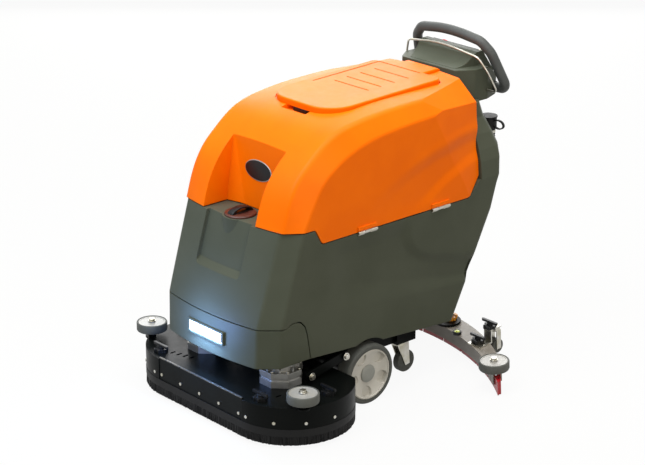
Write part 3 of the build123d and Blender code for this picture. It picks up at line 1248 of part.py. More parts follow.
SHEET = 4                   # sheet of the angle brackets
ANGLE_FOOT = (-40, 16, -46)             # sides of the foot from the caster, and its front
ANGLE_HALF = 16
ANGLE_Y = (8, 12)           # front and rear of the upright
ANGLE_TOP = SQ_TOP + 48
GLIDE_SWIVEL = (14, 15)     # height and radius of the swivel under the bracket
GLIDE_LEG = (12, 15, 10)    # inner and outer side of a fork leg, and half its length
GLIDE_AXLE = SQ_TOP - 26
GLIDE_PIN = 4
LEG_DROP = 8                # lower end of a leg below the axle
LEG_HEAD = 34
FOOT_KNOB = (-18, -20)      # hand nuts on the foot and on the top of a bracket
TOP_KNOB = (0, 20)
with BuildPart() as glide_brackets:
    # Angle brackets with the small forks behind the body
    for side in (-1, 1):
        x = side * GLIDE[0]
        add(squeegee_block((x + ANGLE_FOOT[0], ANGLE_FOOT[2], SQ_TOP),
                           (x + ANGLE_FOOT[1], ANGLE_Y[1], SQ_TOP + SHEET)))
        add(squeegee_block((x - ANGLE_HALF, ANGLE_Y[0], SQ_TOP), (x + ANGLE_HALF, ANGLE_Y[1], ANGLE_TOP)))
        add(squeegee_block((x - ANGLE_HALF, ANGLE_Y[0], ANGLE_TOP - SHEET),
                           (x + ANGLE_HALF, GLIDE[1] + ANGLE_Y[1], ANGLE_TOP)))
        swivel = ANGLE_TOP - SHEET
        add(squeegee_rod(x, GLIDE[1], swivel - GLIDE_SWIVEL[0], swivel, GLIDE_SWIVEL[1]))
        for out in (-1, 1):
            low, high = sorted((x + out * GLIDE_LEG[0], x + out * GLIDE_LEG[1]))
            add(squeegee_block((low, GLIDE[1] - GLIDE_LEG[2], GLIDE_AXLE - LEG_DROP),
                               (high, GLIDE[1] + GLIDE_LEG[2], SQ_TOP + LEG_HEAD)))
        end = GLIDE_LEG[1] - 1
        add(rod(squeegee_point(x - end, GLIDE[1], GLIDE_AXLE), squeegee_point(x + end, GLIDE[1], GLIDE_AXLE),
                GLIDE_PIN))
save(glide_brackets.part, "glide_brackets")

with BuildPart() as squeegee_knobs:
    for side in (-1, 1):
        x = side * GLIDE[0]
        add(wing_knob(squeegee_seat(x + FOOT_KNOB[0], FOOT_KNOB[1], SQ_TOP + SHEET)))
        add(wing_knob(squeegee_seat(x + TOP_KNOB[0], TOP_KNOB[1], ANGLE_TOP)))
save(squeegee_knobs.part, "squeegee_knobs")


def make_roller(side):
    """Bumper roller over the end of the squeegee."""
    low, high = ROLLER_Z
    with BuildPart() as wheel:
        add(squeegee_rod(*roller_at(side), low, high, ROLLER_R))
        fillet(wheel.edges().filter_by(GeomType.CIRCLE), BUMPER_ROUND)
        add(squeegee_rod(*roller_at(side), high - BUMPER_SUNK, high, ROLLER_R - BUMPER_RIM),
            mode=Mode.SUBTRACT)
        add(squeegee_rod(*roller_at(side), low, high, BOLT_R + RUN_GAP), mode=Mode.SUBTRACT)
    return wheel.part


GLIDE_HALF = 11             # half width and rounding of the small wheel
GLIDE_ROUND = 4


def make_glide_wheel(side):
    """Small wheel of the caster behind the squeegee."""
    x = side * GLIDE[0]
    low = squeegee_point(x - GLIDE_HALF, GLIDE[1], GLIDE_AXLE)
    high = squeegee_point(x + GLIDE_HALF, GLIDE[1], GLIDE_AXLE)
    with BuildPart() as wheel:
        add(rod(low, high, GLIDE_R))
        fillet(wheel.edges().filter_by(GeomType.CIRCLE), GLIDE_ROUND)
        add(rod(low, high, GLIDE_PIN + RUN_GAP), mode=Mode.SUBTRACT)
    return wheel.part


for side, hand in ((1, "left"), (-1, "right")):
    save(make_roller(side), f"{hand}_roller")
    save(make_glide_wheel(side), f"{hand}_glide_wheel")

KINGPIN = squeegee_point(0, SWING_Y, SQ_TOP)
LIFT_BAR = (46, 60, 22)     # inner and outer side of a bar of the lift arm, and its width
LIFT_END = (-20, 16)        # lower end of the bars from the kingpin's foot
LIFT_PLATE = (-40, 22, 9, 17)           # front, rear, foot and top of the plate with the kingpin
with BuildPart() as squeegee_arm:
    # Lift arm: two bars from the frame's pin to the plate with the kingpin
    for side in (-1, 1):
        low, high = sorted((side * LIFT_BAR[0], side * LIFT_BAR[1]))
        add(flat_bar(SQ_PIVOT, (KINGPIN[1] + LIFT_END[0], KINGPIN[2] + LIFT_END[1]), LIFT_BAR[2], low, high))
    add(squeegee_block((-LIFT_BAR[1], SWING_Y + LIFT_PLATE[0], SQ_TOP + LIFT_PLATE[2]),
                       (LIFT_BAR[1], SWING_Y + LIFT_PLATE[1], SQ_TOP + LIFT_PLATE[3])))
    add(rod((-LIFT_BAR[1], *SQ_PIVOT), (LIFT_BAR[1], *SQ_PIVOT), PIN_R + RUN_GAP), mode=Mode.SUBTRACT)
    add(squeegee_block((-SQ_HALF, -SQ_HALF, -SQ_TOP), (SQ_HALF, SQ_HALF, SQ_TOP + SWING_PLATE + 0.5)),
        mode=Mode.SUBTRACT)
    add(squeegee_rod(0, SWING_Y, SQ_TOP, SQ_TOP + LIFT_PLATE[3], KING_R))
save(squeegee_arm.part, "squeegee_arm")

# Console, handle and controls
LEAN = radians(HANDLE_LEAN)
HANDLE_PLANE = Plane(origin=(0, *HANDLE_FOOT), x_dir=(1, 0, 0), z_dir=(0, -cos(LEAN), -sin(LEAN)))
BAIL_PLANE = HANDLE_PLANE.offset(BAIL_STEP)
BAIL_INNER = 146            # half the distance between the bail's ends
BAIL_END = 30               # height of the pivots in the bail's plane
CONSOLE_FRONT = 384
CONSOLE_FOOT = 868
CONSOLE_LIP = 456           # front of the overhang behind the column
LEDGE = 966                 # height of the ledge round the pod
BASE_SIDE = [(CONSOLE_FRONT, CONSOLE_FOOT), (CONSOLE_FRONT, LEDGE), (500, LEDGE), (CONSOLE_BACK, 922),
             (CONSOLE_BACK, 864), (560, CONSOLE_FOOT - 10), (CONSOLE_LIP, CONSOLE_FOOT - 10),
             (CONSOLE_LIP, CONSOLE_FOOT)]
BASE_PLAN = [(122, CONSOLE_FRONT), (160, 440), (160, 500), (132, CONSOLE_BACK)]
BASE_R = 16
POD_FRONT = 400
POD_HOLLOW = (438, 977)     # middle and top of the pod's scooped front
POD_BROW = (464, 1002)
POD_TOP = (486, 1011)
POD_FOOT = [(CONSOLE_BACK, 922), (540, 912), (POD_FRONT, LEDGE - 14)]
POD_PLAN = [(104, POD_FRONT), (126, 470), (126, CONSOLE_BACK)]
POD_R = 20
BROW_R = 8
PLAN_DROP = 20              # how far the plan tools start below the console, and their height
PLAN_HIGH = 200
HOLLOW = (110, 12, 500)     # hollow from below: half width, wall and rear


def console_plan(half, radius):
    """Upright solid over a plan given by its left half, tall enough for the whole console."""
    with BuildPart() as made:
        with BuildSketch(Plane.XY.offset(CONSOLE_FOOT - PLAN_DROP)) as plan:
            with BuildLine():
                Polyline(*half, *[(-x, y) for x, y in reversed(half)], close=True)
            make_face()
            fillet(plan.vertices(), radius)
        extrude(amount=PLAN_HIGH)
    return made.part


with BuildPart() as console_base:
    add(side_prism(BASE_SIDE, -BODY_REACH, BODY_REACH))
    add(console_plan(BASE_PLAN, BASE_R), mode=Mode.INTERSECT)

with BuildPart() as console_pod:
    with BuildSketch(Plane.YZ.offset(-BODY_REACH)):
        with BuildLine():
            ThreePointArc((POD_FRONT, LEDGE + 1), POD_HOLLOW, POD_BROW)
            Polyline(POD_BROW, POD_TOP, PANEL_TOP, PANEL_FOOT, *POD_FOOT, (POD_FRONT, LEDGE + 1))
        make_face()
    extrude(amount=2 * BODY_REACH)
    add(console_plan(POD_PLAN, POD_R), mode=Mode.INTERSECT)

PANEL = Plane(
    origin=(0, (PANEL_TOP[0] + PANEL_FOOT[0]) / 2, (PANEL_TOP[1] + PANEL_FOOT[1]) / 2), x_dir=(-1, 0, 0),
    z_dir=(0, PANEL_TOP[1] - PANEL_FOOT[1], PANEL_FOOT[0] - PANEL_TOP[0]),
)
PANEL_SIZE = (216, 92, 3, 8)            # width, height, thickness and rounding
PANEL_BOX = (196, 76, 26)
PANEL_HOLE = 22             # depth of the holes behind the controls
KEY = (-84, 8)
STOP = (82, 6)
DIAL = (44, -20)
BUTTONS = ((-44, "brush_button"), (-14, "vacuum_button"), (16, "lamp_button"))
BUTTON_Y = -26
BUTTON = (18, 12, 15)
BUTTON_GAP = 0.1
CONTROL_FOOT = -8           # inner ends of the controls behind the panel's plane
BARREL_R = 8                # lock barrel and stop stem
LOCK_TOP = 6
KEY_BLADE = (30, 4, 26)
STOP_CAP = (10, 24, 17, 4)  # foot, top, radius and rounding of the stop's head
DIAL_STEM = (5, 5)
DIAL_CAP = (4, 18, 14)
BAIL_HOLE = 4               # depth of the bail's pivot holes, and reach of their tool
BAIL_TOOL = 180

with BuildPart() as console:
    add(console_base.part)
    add(console_pod.part)
    fillet(console.edges().filter_by(Axis.X).group_by(Axis.Z)[-1], BROW_R)
    # Hollow from below, room for the box behind the panel, and pivots of the bail
    add(block((-HOLLOW[0], CONSOLE_FRONT + HOLLOW[1], CONSOLE_FOOT - PLAN_DROP),
              (HOLLOW[0], HOLLOW[2], LEDGE - HOLLOW[1])), mode=Mode.SUBTRACT)
    with BuildSketch(PANEL):
        Rectangle(PANEL_BOX[0], PANEL_BOX[1])
    extrude(amount=-PANEL_BOX[2], mode=Mode.SUBTRACT)
    pivot = tuple(BAIL_PLANE.from_local_coords((0, BAIL_END, 0)))
    for side in (-1, 1):
        add(rod((side * (BAIL_INNER - BAIL_HOLE), *pivot[1:]), (side * BAIL_TOOL, *pivot[1:]),
                BAIL_R + RUN_GAP), mode=Mode.SUBTRACT)
save(console.part, "console")

with BuildPart() as control_panel:
    with BuildSketch(PANEL):
        RectangleRounded(PANEL_SIZE[0], PANEL_SIZE[1], PANEL_SIZE[3])
    extrude(amount=PANEL_SIZE[2])
    with BuildSketch(PANEL):
        Rectangle(PANEL_BOX[0], PANEL_BOX[1])
    extrude(amount=-PANEL_BOX[2])
    with BuildSketch(PANEL.offset(PANEL_SIZE[2])):
        with Locations(KEY, STOP):
            Circle(BARREL_R + RUN_GAP)
        with Locations(DIAL):
            Circle(DIAL_STEM[1] + RUN_GAP)
        with Locations(*[(x, BUTTON_Y) for x, name in BUTTONS]):
            Rectangle(BUTTON[0] + 2 * BUTTON_GAP, BUTTON[1] + 2 * BUTTON_GAP)
    extrude(amount=-PANEL_HOLE, mode=Mode.SUBTRACT)
save(control_panel.part, "control_panel")


def on_panel(at, low, high, radius):
    """Round piece square to the control panel."""
    with BuildPart() as made:
        with BuildSketch(PANEL.offset(low)):
            with Locations(at):
                Circle(radius)
        extrude(amount=high - low)
    return made.part


with BuildPart() as key_switch:
    add(on_panel(KEY, CONTROL_FOOT, LOCK_TOP, BARREL_R))
    with BuildSketch(PANEL.offset(LOCK_TOP)):
        with Locations(KEY):
            SlotOverall(KEY_BLADE[0], KEY_BLADE[1], rotation=90)
    extrude(amount=KEY_BLADE[2])
save(key_switch.part, "key_switch")

with BuildPart() as emergency_stop:
    add(on_panel(STOP, CONTROL_FOOT, STOP_CAP[0] + 1, BARREL_R))
    add(on_panel(STOP, *STOP_CAP[:3]))
    fillet(emergency_stop.faces().sort_by(SortBy.AREA)[-1].edges(), STOP_CAP[3])
save(emergency_stop.part, "emergency_stop")

with BuildPart() as speed_dial:
    add(on_panel(DIAL, CONTROL_FOOT, *DIAL_STEM))
    add(on_panel(DIAL, *DIAL_CAP))
save(speed_dial.part, "speed_dial")

for x, name in BUTTONS:
    with BuildPart() as button:
        with BuildSketch(PANEL.offset(CONTROL_FOOT)):
            with Locations((x, BUTTON_Y)):
                Rectangle(BUTTON[0], BUTTON[1])
        extrude(amount=BUTTON[2])
    save(button.part, name)


def hoop(plane, points, radii, radius):
    """Round bar bent in a plane, mirrored about the middle."""
    route = [*points, *[(-x, y) for x, y in reversed(points[:-1])]]
    bends = [*radii, *reversed(radii[:-1])]
    with BuildPart() as made:
        with BuildLine(plane) as line:
            FilletPolyline(*route, radius=bends)
        with BuildSketch(Plane(origin=line.line @ 0, z_dir=line.line % 0)):
            Circle(radius)
        sweep(path=line.line)
    return made.part


HANDLE_LINE = [(118, 4), (200, 8), (170, 144), (135, 182), (0, 203)]    # one half, in the handle's plane
HANDLE_BENDS = [26, 60, 45, 500]
BAIL_LINE = [(BAIL_INNER, BAIL_END), (206, BAIL_END), (186, 105), (160, 155), (0, 180)]
BAIL_BENDS = [14, 60, 30, 500]
with BuildPart() as handlebar:
    add(hoop(HANDLE_PLANE, HANDLE_LINE, HANDLE_BENDS, HANDLE_R))
    add(console.part, mode=Mode.SUBTRACT)
save(handlebar.part, "handlebar")

with BuildPart() as bail:
    add(hoop(BAIL_PLANE, BAIL_LINE, BAIL_BENDS, BAIL_R))
save(bail.part, "bail")

# Drain hose on the rear column
HOSE = (157, 512)
HOSE_R = 24
HOSE_SPAN = (605, 757)
ELBOW = (430, 557)          # (Y, Z) of the elbow's end inside the tank's wall
ELBOW_R = 40
HOSE_BORE = 18
HOSE_ROOT = HOSE_R - 3      # radius between the ribs
RIB_PITCH = 8
RIB_STEPS = (2, 3, 6, 7)    # foot, lower and upper crest and head of a rib from its start
with BuildPart() as drain_hose:
    # Ribbed upright stretch and the plain elbow into the tank
    ribs = int((HOSE_SPAN[1] - HOSE_SPAN[0]) / RIB_PITCH)
    profile = [(HOSE_BORE, HOSE_SPAN[0]), (HOSE_ROOT, HOSE_SPAN[0])]
    for i in range(ribs):
        foot = HOSE_SPAN[0] + i * RIB_PITCH
        radii = (HOSE_ROOT, HOSE_R, HOSE_R, HOSE_ROOT)
        profile += [(radius, foot + step) for radius, step in zip(radii, RIB_STEPS)]
    profile += [(HOSE_ROOT, HOSE_SPAN[1]), (HOSE_BORE, HOSE_SPAN[1])]
    with BuildSketch(Plane(origin=(*HOSE, 0), x_dir=(1, 0, 0), z_dir=(0, -1, 0))):
        with BuildLine():
            Polyline(*profile, close=True)
        make_face()
    revolve(axis=Axis((*HOSE, 0), (0, 0, 1)))
    with BuildLine() as elbow:
        FilletPolyline((*HOSE, HOSE_SPAN[0]), (*HOSE, ELBOW[1]), (HOSE[0], *ELBOW), radius=ELBOW_R)
    with BuildSketch(Plane(origin=elbow.line @ 0, z_dir=elbow.line % 0)):
        Circle(HOSE_ROOT)
        Circle(HOSE_BORE, mode=Mode.SUBTRACT)
    sweep(path=elbow.line)
    add(solution_tank.part, mode=Mode.SUBTRACT)
save(drain_hose.part, "drain_hose")

DRAIN_CAP = (38, 4)         # height of the cap and of its lip
DRAIN_CAP_R = (HOSE_R + 4, HOSE_R + 6)
STRAP_AT = (HOSE_R + 22, 20)            # middle of the strap's loop from the cap's foot
STRAP = ((24, 16), (20, 12))
STRAP_WIDE = 8
with BuildPart() as drain_cap:
    # Push-on cap with its strap
    lip = HOSE_SPAN[1] + DRAIN_CAP[0]
    add(rod((*HOSE, HOSE_SPAN[1]), (*HOSE, lip), DRAIN_CAP_R[0]))
    add(rod((*HOSE, lip), (*HOSE, lip + DRAIN_CAP[1]), DRAIN_CAP_R[1]))
    with BuildSketch(Plane.XZ.offset(-HOSE[1] - STRAP_WIDE / 2)):
        with Locations((HOSE[0] + STRAP_AT[0], HOSE_SPAN[1] + STRAP_AT[1])):
            Ellipse(*STRAP[0])
            Ellipse(*STRAP[1], mode=Mode.SUBTRACT)
    extrude(amount=STRAP_WIDE)
save(drain_cap.part, "drain_cap")

# Lever at the back that raises and lowers the squeegee
LEVER = (-130, 516, 640)
LEVER_ARM = ((45, -100), 7)             # end from the pivot in Y and Z, and radius
LEVER_GRIP = ((40, -89), (68, -151), 12)
LEVER_HUB = (9, 13)         # half width and radius of the hub
LEVER_EARS = (10, 18, 22)   # inner and outer side of the bracket's ears from the lever, and end of the pin
EAR_ROOT = 22               # half height of an ear at the column, and its outer end
EAR_TIP = (12, -8, 10)


def on_lever(start, end, radius):
    """Round bar of the lever between two places given from its pivot in Y and Z."""
    return rod((LEVER[0], LEVER[1] + start[0], LEVER[2] + start[1]),
               (LEVER[0], LEVER[1] + end[0], LEVER[2] + end[1]), radius)


def lever_pin(half, radius):
    """Round piece along the lever's pivot."""
    return rod((LEVER[0] - half, *LEVER[1:]), (LEVER[0] + half, *LEVER[1:]), radius)


with BuildPart() as squeegee_lever:
    add(lever_pin(*LEVER_HUB))
    add(on_lever((0, 0), *LEVER_ARM))
    add(on_lever(*LEVER_GRIP))
    add(lever_pin(LEVER_EARS[1], PIN_R + RUN_GAP), mode=Mode.SUBTRACT)
save(squeegee_lever.part, "squeegee_lever")

with BuildPart() as lever_bracket:
    # Two ears on the column with the lever's pin
    tip = LEVER[1] + EAR_TIP[0]
    ear = [(COLUMN_LEVELS[0][3], LEVER[2] - EAR_ROOT), (tip, LEVER[2] + EAR_TIP[1]),
           (tip, LEVER[2] + EAR_TIP[2]), (COLUMN_LEVELS[0][3], LEVER[2] + EAR_ROOT)]
    for side in (-1, 1):
        add(side_prism(ear, *sorted((LEVER[0] + side * LEVER_EARS[0], LEVER[0] + side * LEVER_EARS[1]))))
    add(lever_pin(LEVER_EARS[2], PIN_R))
    add(body_form(0), mode=Mode.SUBTRACT)
    add(column_form(0), mode=Mode.SUBTRACT)
save(lever_bracket.part, "lever_bracket")
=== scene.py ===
import json
import logging
import random
from collections.abc import Callable, Sequence
from dataclasses import dataclass, replace
from enum import Enum
from math import asin, copysign, cos, dist, hypot, pi, radians, sin

import bmesh
import bpy
from mathutils import Matrix, Vector


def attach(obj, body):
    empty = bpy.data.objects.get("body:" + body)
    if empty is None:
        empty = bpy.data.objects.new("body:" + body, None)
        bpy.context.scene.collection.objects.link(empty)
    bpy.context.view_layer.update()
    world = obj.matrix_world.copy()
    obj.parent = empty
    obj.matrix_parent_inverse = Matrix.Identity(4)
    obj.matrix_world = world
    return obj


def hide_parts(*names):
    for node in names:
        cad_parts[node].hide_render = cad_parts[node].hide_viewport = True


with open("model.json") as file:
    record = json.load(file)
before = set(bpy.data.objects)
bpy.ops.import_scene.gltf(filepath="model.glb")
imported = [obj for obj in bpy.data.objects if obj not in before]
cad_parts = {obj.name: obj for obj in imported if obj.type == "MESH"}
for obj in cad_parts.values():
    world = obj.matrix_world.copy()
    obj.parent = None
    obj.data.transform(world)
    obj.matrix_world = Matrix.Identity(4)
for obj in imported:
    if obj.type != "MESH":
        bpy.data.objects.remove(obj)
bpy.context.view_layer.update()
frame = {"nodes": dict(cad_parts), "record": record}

log = logging.getLogger("scrubber")
logging.basicConfig(level=logging.INFO, format="%(message)s")

MM = 0.001  # metres in a millimetre; shapes are drawn in millimetres
WELD = 1e-3  # points closer than this are one
SHARP_DEG = 34.0  # angle from which an edge is shaded sharp
MOTTLE_BAND = (0.38, 0.62)  # noise values between which one tone turns into the other
RUB_BAND = (0.3, 0.7)  # noise values of the lowest and the highest roughness
RUB_FINER = 5  # how much finer the rubbed pattern is than the mottling
WORN_Z_MM = (136.0, 140.0)  # heights between which the deck plate's coat is rubbed through
WORN_BAND = (0.3, 0.5)  # noise values from which the bare steel starts and is full
BARE_STEEL = "#5E5D59"
CHIP_MM = 13.0  # spacing of the chips behind the headlamp's lens
CHIP_BAND = (0.1, 0.6)  # distances from a chip, in spacings, where the glow is greatest and least
LAMP_GLOW = (9.0, 3.5)  # strength of the glow at those two
LAMP_WHITE = "#EAF3FF"
BOLT_ROUND = 0.5  # rounding of the edges of bolts
HANDS = (("left", 1), ("right", -1))
CORNERS = ((-1, -1), (1, -1), (1, 1), (-1, 1))

Node = bpy.types.Node
Socket = bpy.types.NodeSocket
Tree = bpy.types.NodeTree
Shape = bmesh.types.BMesh
Pair = tuple[float, float]
Point = tuple[float, float, float]
Profile = tuple[Pair, ...]  # (radius, height) points, or corners of a plate


def linear(colour: str) -> tuple[float, float, float, float]:
    """Turn an sRGB hex colour with a leading # into linear RGBA."""
    parts = [int(colour[i:i + 2], 16) / 255 for i in (1, 3, 5)]
    return (*[c / 12.92 if c <= 0.04045 else ((c + 0.055) / 1.055) ** 2.4 for c in parts], 1.0)


def node(tree: Tree, kind: str, inputs: dict | None = None, **settings: object) -> Node:
    """Add a shader node with its settings, values and links.

    Args:
        tree: Node tree that takes the node.
        kind: Blender's type name of the node, after ShaderNode.
        inputs: Input name or number to a value, to a socket, or to a node whose first output feeds it.
        **settings: Properties of the node itself.

    Returns:
        The new node.
    """
    made = tree.nodes.new(f"ShaderNode{kind}")
    for key, value in settings.items():
        setattr(made, key, value)
    for key, value in (inputs or {}).items():
        source = value.outputs[0] if isinstance(value, Node) else value
        if isinstance(source, Socket):
            tree.links.new(source, made.inputs[key])
        else:
            made.inputs[key].default_value = source
    return made


def step(value: float, low: float, high: float) -> float:
    """Smooth step of a value, from 0 at the low mark to 1 at the high one."""
    share = min(max((value - low) / (high - low), 0.0), 1.0)
    return share * share * (3 - 2 * share)


class Surface(Enum):
    """What a finish does beyond plain colour, gloss and grain."""

    PLAIN = "plain"
    WORN = "coat rubbed bright along an upper edge"
    LAMP = "lit diffuser"


@dataclass(frozen=True)
class Finish:
    """One real finish of the machine.

    Attributes:
        title: Common name of the material and how its surface was made.
        slot: Material slot of the record.
        colour: Main colour.
        tint: Colour of its broad, faint mottling.
        roughness: Mean roughness.
        metallic: 1 for bare metal.
        mottle_mm: Size of the mottling.
        grain_mm: Size of the fine grain, drawn coarse enough to show.
        depth_mm: Depth of the grain.
        round_mm: Radius that sharp edges show.
        ior: Index of refraction.
        shine: Strength of the reflection next to that index, 0.5 in full.
        spread: How far roughness wanders either way.
        surface: Special treatment.
    """

    title: str
    slot: str
    colour: str
    tint: str
    roughness: float
    metallic: float = 0.0
    mottle_mm: float = 160.0
    grain_mm: float = 1.6
    depth_mm: float = 0.05
    round_mm: float = 1.0
    ior: float = 1.5
    shine: float = 0.5
    spread: float = 0.05
    surface: Surface = Surface.PLAIN

    def material(self) -> bpy.types.Material:
        """Make the material once and return it after that.

        Returns:
            The Blender material.
        """
        known = bpy.data.materials.get(self.title)
        if known:
            return known
        made = bpy.data.materials.new(self.title)
        made.use_nodes = True
        tree = made.node_tree
        tree.nodes.clear()
        at = node(tree, "TexCoord").outputs["Object"]
        broad = node(tree, "TexNoise", {"Vector": at, "Scale": 1 / (self.mottle_mm * MM), "Detail": 4.0})
        tone = node(tree, "ValToRGB", {"Fac": broad})
        for stop, place, colour in zip(tone.color_ramp.elements, MOTTLE_BAND, (self.tint, self.colour)):
            stop.position = place
            stop.color = linear(colour)
        rub = node(tree, "TexNoise", {
            "Vector": at, "Scale": RUB_FINER / (self.mottle_mm * MM), "Detail": 6.0, "Roughness": 0.65})
        gloss = node(tree, "MapRange", {
            "Value": rub, "From Min": RUB_BAND[0], "From Max": RUB_BAND[1],
            "To Min": self.roughness - self.spread, "To Max": self.roughness + self.spread})
        grain = node(tree, "TexNoise", {"Vector": at, "Scale": 1 / (self.grain_mm * MM), "Detail": 2.0})
        edge = node(tree, "Bevel", {"Radius": self.round_mm * MM}, samples=6)
        relief = node(tree, "Bump", {"Height": grain, "Distance": self.depth_mm * MM, "Normal": edge})
        shader = node(tree, "BsdfPrincipled", {
            "Base Color": tone, "Roughness": gloss, "Metallic": self.metallic, "IOR": self.ior,
            "Specular IOR Level": self.shine, "Normal": relief})
        if self.surface is Surface.WORN:
            self.wear(tree, at, rub, tone, shader)
        if self.surface is Surface.LAMP:
            self.light(tree, at, shader)
        node(tree, "OutputMaterial", {"Surface": shader})
        return made

    def wear(self, tree: Tree, at: Socket, rub: Node, tone: Node, shader: Node) -> None:
        """Rub the coat through to bare steel along the upper edge.

        Args:
            tree: Node tree of the material.
            at: Object coordinates.
            rub: Noise that breaks the edge of the worn band.
            tone: Colour of the coat.
            shader: Shader that takes the result.
        """
        height = node(tree, "SeparateXYZ", {0: at}).outputs["Z"]
        band = node(tree, "MapRange", {
            "Value": height, "From Min": WORN_Z_MM[0] * MM, "From Max": WORN_Z_MM[1] * MM})
        mask = node(tree, "Math", {0: band, 1: rub}, operation="MULTIPLY")
        bare = node(tree, "MapRange", {"Value": mask, "From Min": WORN_BAND[0], "From Max": WORN_BAND[1]})
        skin = node(tree, "Mix", {0: bare, 6: tone, 7: linear(BARE_STEEL)}, data_type="RGBA")
        tree.links.new(skin.outputs[2], shader.inputs["Base Color"])
        tree.links.new(bare.outputs["Result"], shader.inputs["Metallic"])

    def light(self, tree: Tree, at: Socket, shader: Node) -> None:
        """Light the diffuser from behind by a row of small chips.

        Args:
            tree: Node tree of the material.
            at: Object coordinates.
            shader: Shader that takes the glow.
        """
        chips = node(tree, "TexVoronoi", {"Vector": at, "Scale": 1 / (CHIP_MM * MM), "Randomness": 0.15})
        glow = node(tree, "MapRange", {
            "Value": chips, "From Min": CHIP_BAND[0], "From Max": CHIP_BAND[1],
            "To Min": LAMP_GLOW[0], "To Max": LAMP_GLOW[1]})
        shader.inputs["Emission Color"].default_value = linear(LAMP_WHITE)
        tree.links.new(glow.outputs["Result"], shader.inputs["Emission Strength"])


# Rotomoulded polyethylene: satin, waxy, with a very fine pebbled grain and soft edges
ORANGE = Finish("Rotomoulded polyethylene, orange", "orange_shell", "#F46F00", "#EF6A00", 0.42,
                grain_mm=2.2, depth_mm=0.035, round_mm=3.5, shine=0.09)
# The same moulding with a crisper edge
ORANGE_LID = replace(ORANGE, title="Rotomoulded polyethylene, orange lid", round_mm=1.0)
# The same plastic in a grey that leans to olive
GREY = Finish("Rotomoulded polyethylene, grey", "grey_shell", "#4B4F43", "#474B3F", 0.46,
              grain_mm=2.2, depth_mm=0.04, round_mm=3.5, shine=0.09)
# Powder-coated steel: even black with a slight orange peel
BLACK_STEEL = Finish("Powder-coated steel, black", "black_steel", "#0A0C0B", "#070908", 0.36,
                     mottle_mm=90, grain_mm=2.6, depth_mm=0.06, round_mm=1.2, shine=0.06)
# The same coat, rubbed through to grey steel along the plate's upper edge
WORN_STEEL = Finish("Powder-coated steel, rubbed edge", "black_steel", "#0D100F", "#0A0C0B", 0.38,
                    mottle_mm=60, grain_mm=2.6, depth_mm=0.06, round_mm=1.2, shine=0.06, surface=Surface.WORN)
# Zinc-plated steel: bright, slightly yellow where the passivation gathers
ZINC = Finish("Zinc-plated steel", "zinc", "#BDBBB4", "#A9A594", 0.34, metallic=1.0,
              mottle_mm=30, grain_mm=1.2, depth_mm=0.02, round_mm=0.6)
# Die-cast aluminium: dull grey metal with a faint skin of flow marks
CAST = Finish("Die-cast aluminium", "cast_aluminium", "#A7A7A4", "#94948F", 0.5, metallic=1.0,
              mottle_mm=45, grain_mm=1.5, round_mm=1.5)
# Painted casting: warm grey, satin, a little uneven
PAINTED_CAST = Finish("Painted aluminium casting, warm grey", "cast_aluminium", "#89837A", "#7D776E", 0.45,
                      mottle_mm=60, grain_mm=2.0, round_mm=1.5, shine=0.3)
# Wheel rubber: matt dark grey, dusty
TYRE = Finish("Moulded rubber, dark grey", "tyre", "#434540", "#3B3D39", 0.72,
              mottle_mm=60, grain_mm=1.4, depth_mm=0.06, round_mm=1.5, spread=0.08)
# Guard-wheel rubber: a lighter grey, less dusty
BUMPER = Finish("Moulded rubber, grey", "bumper", "#4E504B", "#464843", 0.66,
                mottle_mm=40, grain_mm=1.4, round_mm=1.5)
# Injection-moulded polypropylene: pale, satin
DISC = Finish("Injection-moulded polypropylene, pale grey", "wheel_disc", "#BFBDB5", "#B5B3AB", 0.34,
              mottle_mm=70, depth_mm=0.02)
# The same plastic in a darker grey, painted shade that tones down the discs that lie flat and face the lamps
DISC_PAINTED_SHADE = replace(DISC, title="Injection-moulded polypropylene, grey with painted shade",
                    colour="#96958F", tint="#8D8C86")
# Hub caps: the same plastic in a middle grey, duller
HUB = Finish("Injection-moulded polypropylene, grey", "wheel_disc", "#8D8F89", "#858781", 0.45,
             mottle_mm=50, depth_mm=0.02)
# Extruded rubber: deep black with hardly any shine
RUBBER = Finish("Extruded rubber, black", "black_rubber", "#0C0C0C", "#080808", 0.55,
                mottle_mm=70, depth_mm=0.04, shine=0.2)
# Polyurethane blade: red, slightly glossy, almost even
BLADE = Finish("Cast polyurethane, red", "red_blade", "#B01420", "#A3101B", 0.38,
               mottle_mm=50, depth_mm=0.02)
# Nylon bristles: black, with a weak gleam along each strand
BRISTLE = Finish("Drawn nylon bristle, black", "bristle", "#0D0D0D", "#070707", 0.5,
                 mottle_mm=14, depth_mm=0.01, round_mm=0.2, shine=0.2)
# Glass-filled nylon: black satin mouldings
BLACK = Finish("Moulded nylon, black", "black_plastic", "#121314", "#0D0E0F", 0.4,
               mottle_mm=50, depth_mm=0.03, shine=0.25)
# Soft-touch handle: dark grey, nearly matt
GRIP = Finish("Soft-touch polymer, dark grey", "black_plastic", "#3B3E3C", "#353836", 0.58,
              mottle_mm=70, grain_mm=1.4, depth_mm=0.06)
# Wing knobs: warm amber, satin
YELLOW = Finish("Moulded nylon, amber", "yellow_knob", "#D9901F", "#CC8518", 0.42,
                mottle_mm=40, depth_mm=0.02)
# Filler cap: dark brown, slightly waxy
BROWN = Finish("Moulded polyethylene, brown", "brown_cap", "#4A2115", "#411B10", 0.45,
               mottle_mm=40, depth_mm=0.03)
# Opal lens: lit from behind, brighter over each chip
LAMP = Finish("Opal polycarbonate, lit", "lamp", "#F4F8FF", "#EDF3FC", 0.35, surface=Surface.LAMP)
# Stop button: glossy red
RED = Finish("Moulded ABS, red", "red_button", "#C4131B", "#B80F17", 0.28, depth_mm=0.01)
# Push buttons: light grey, half gloss
KEYCAP = Finish("Moulded ABS, light grey", "button", "#8C9097", "#83878E", 0.36, depth_mm=0.01)
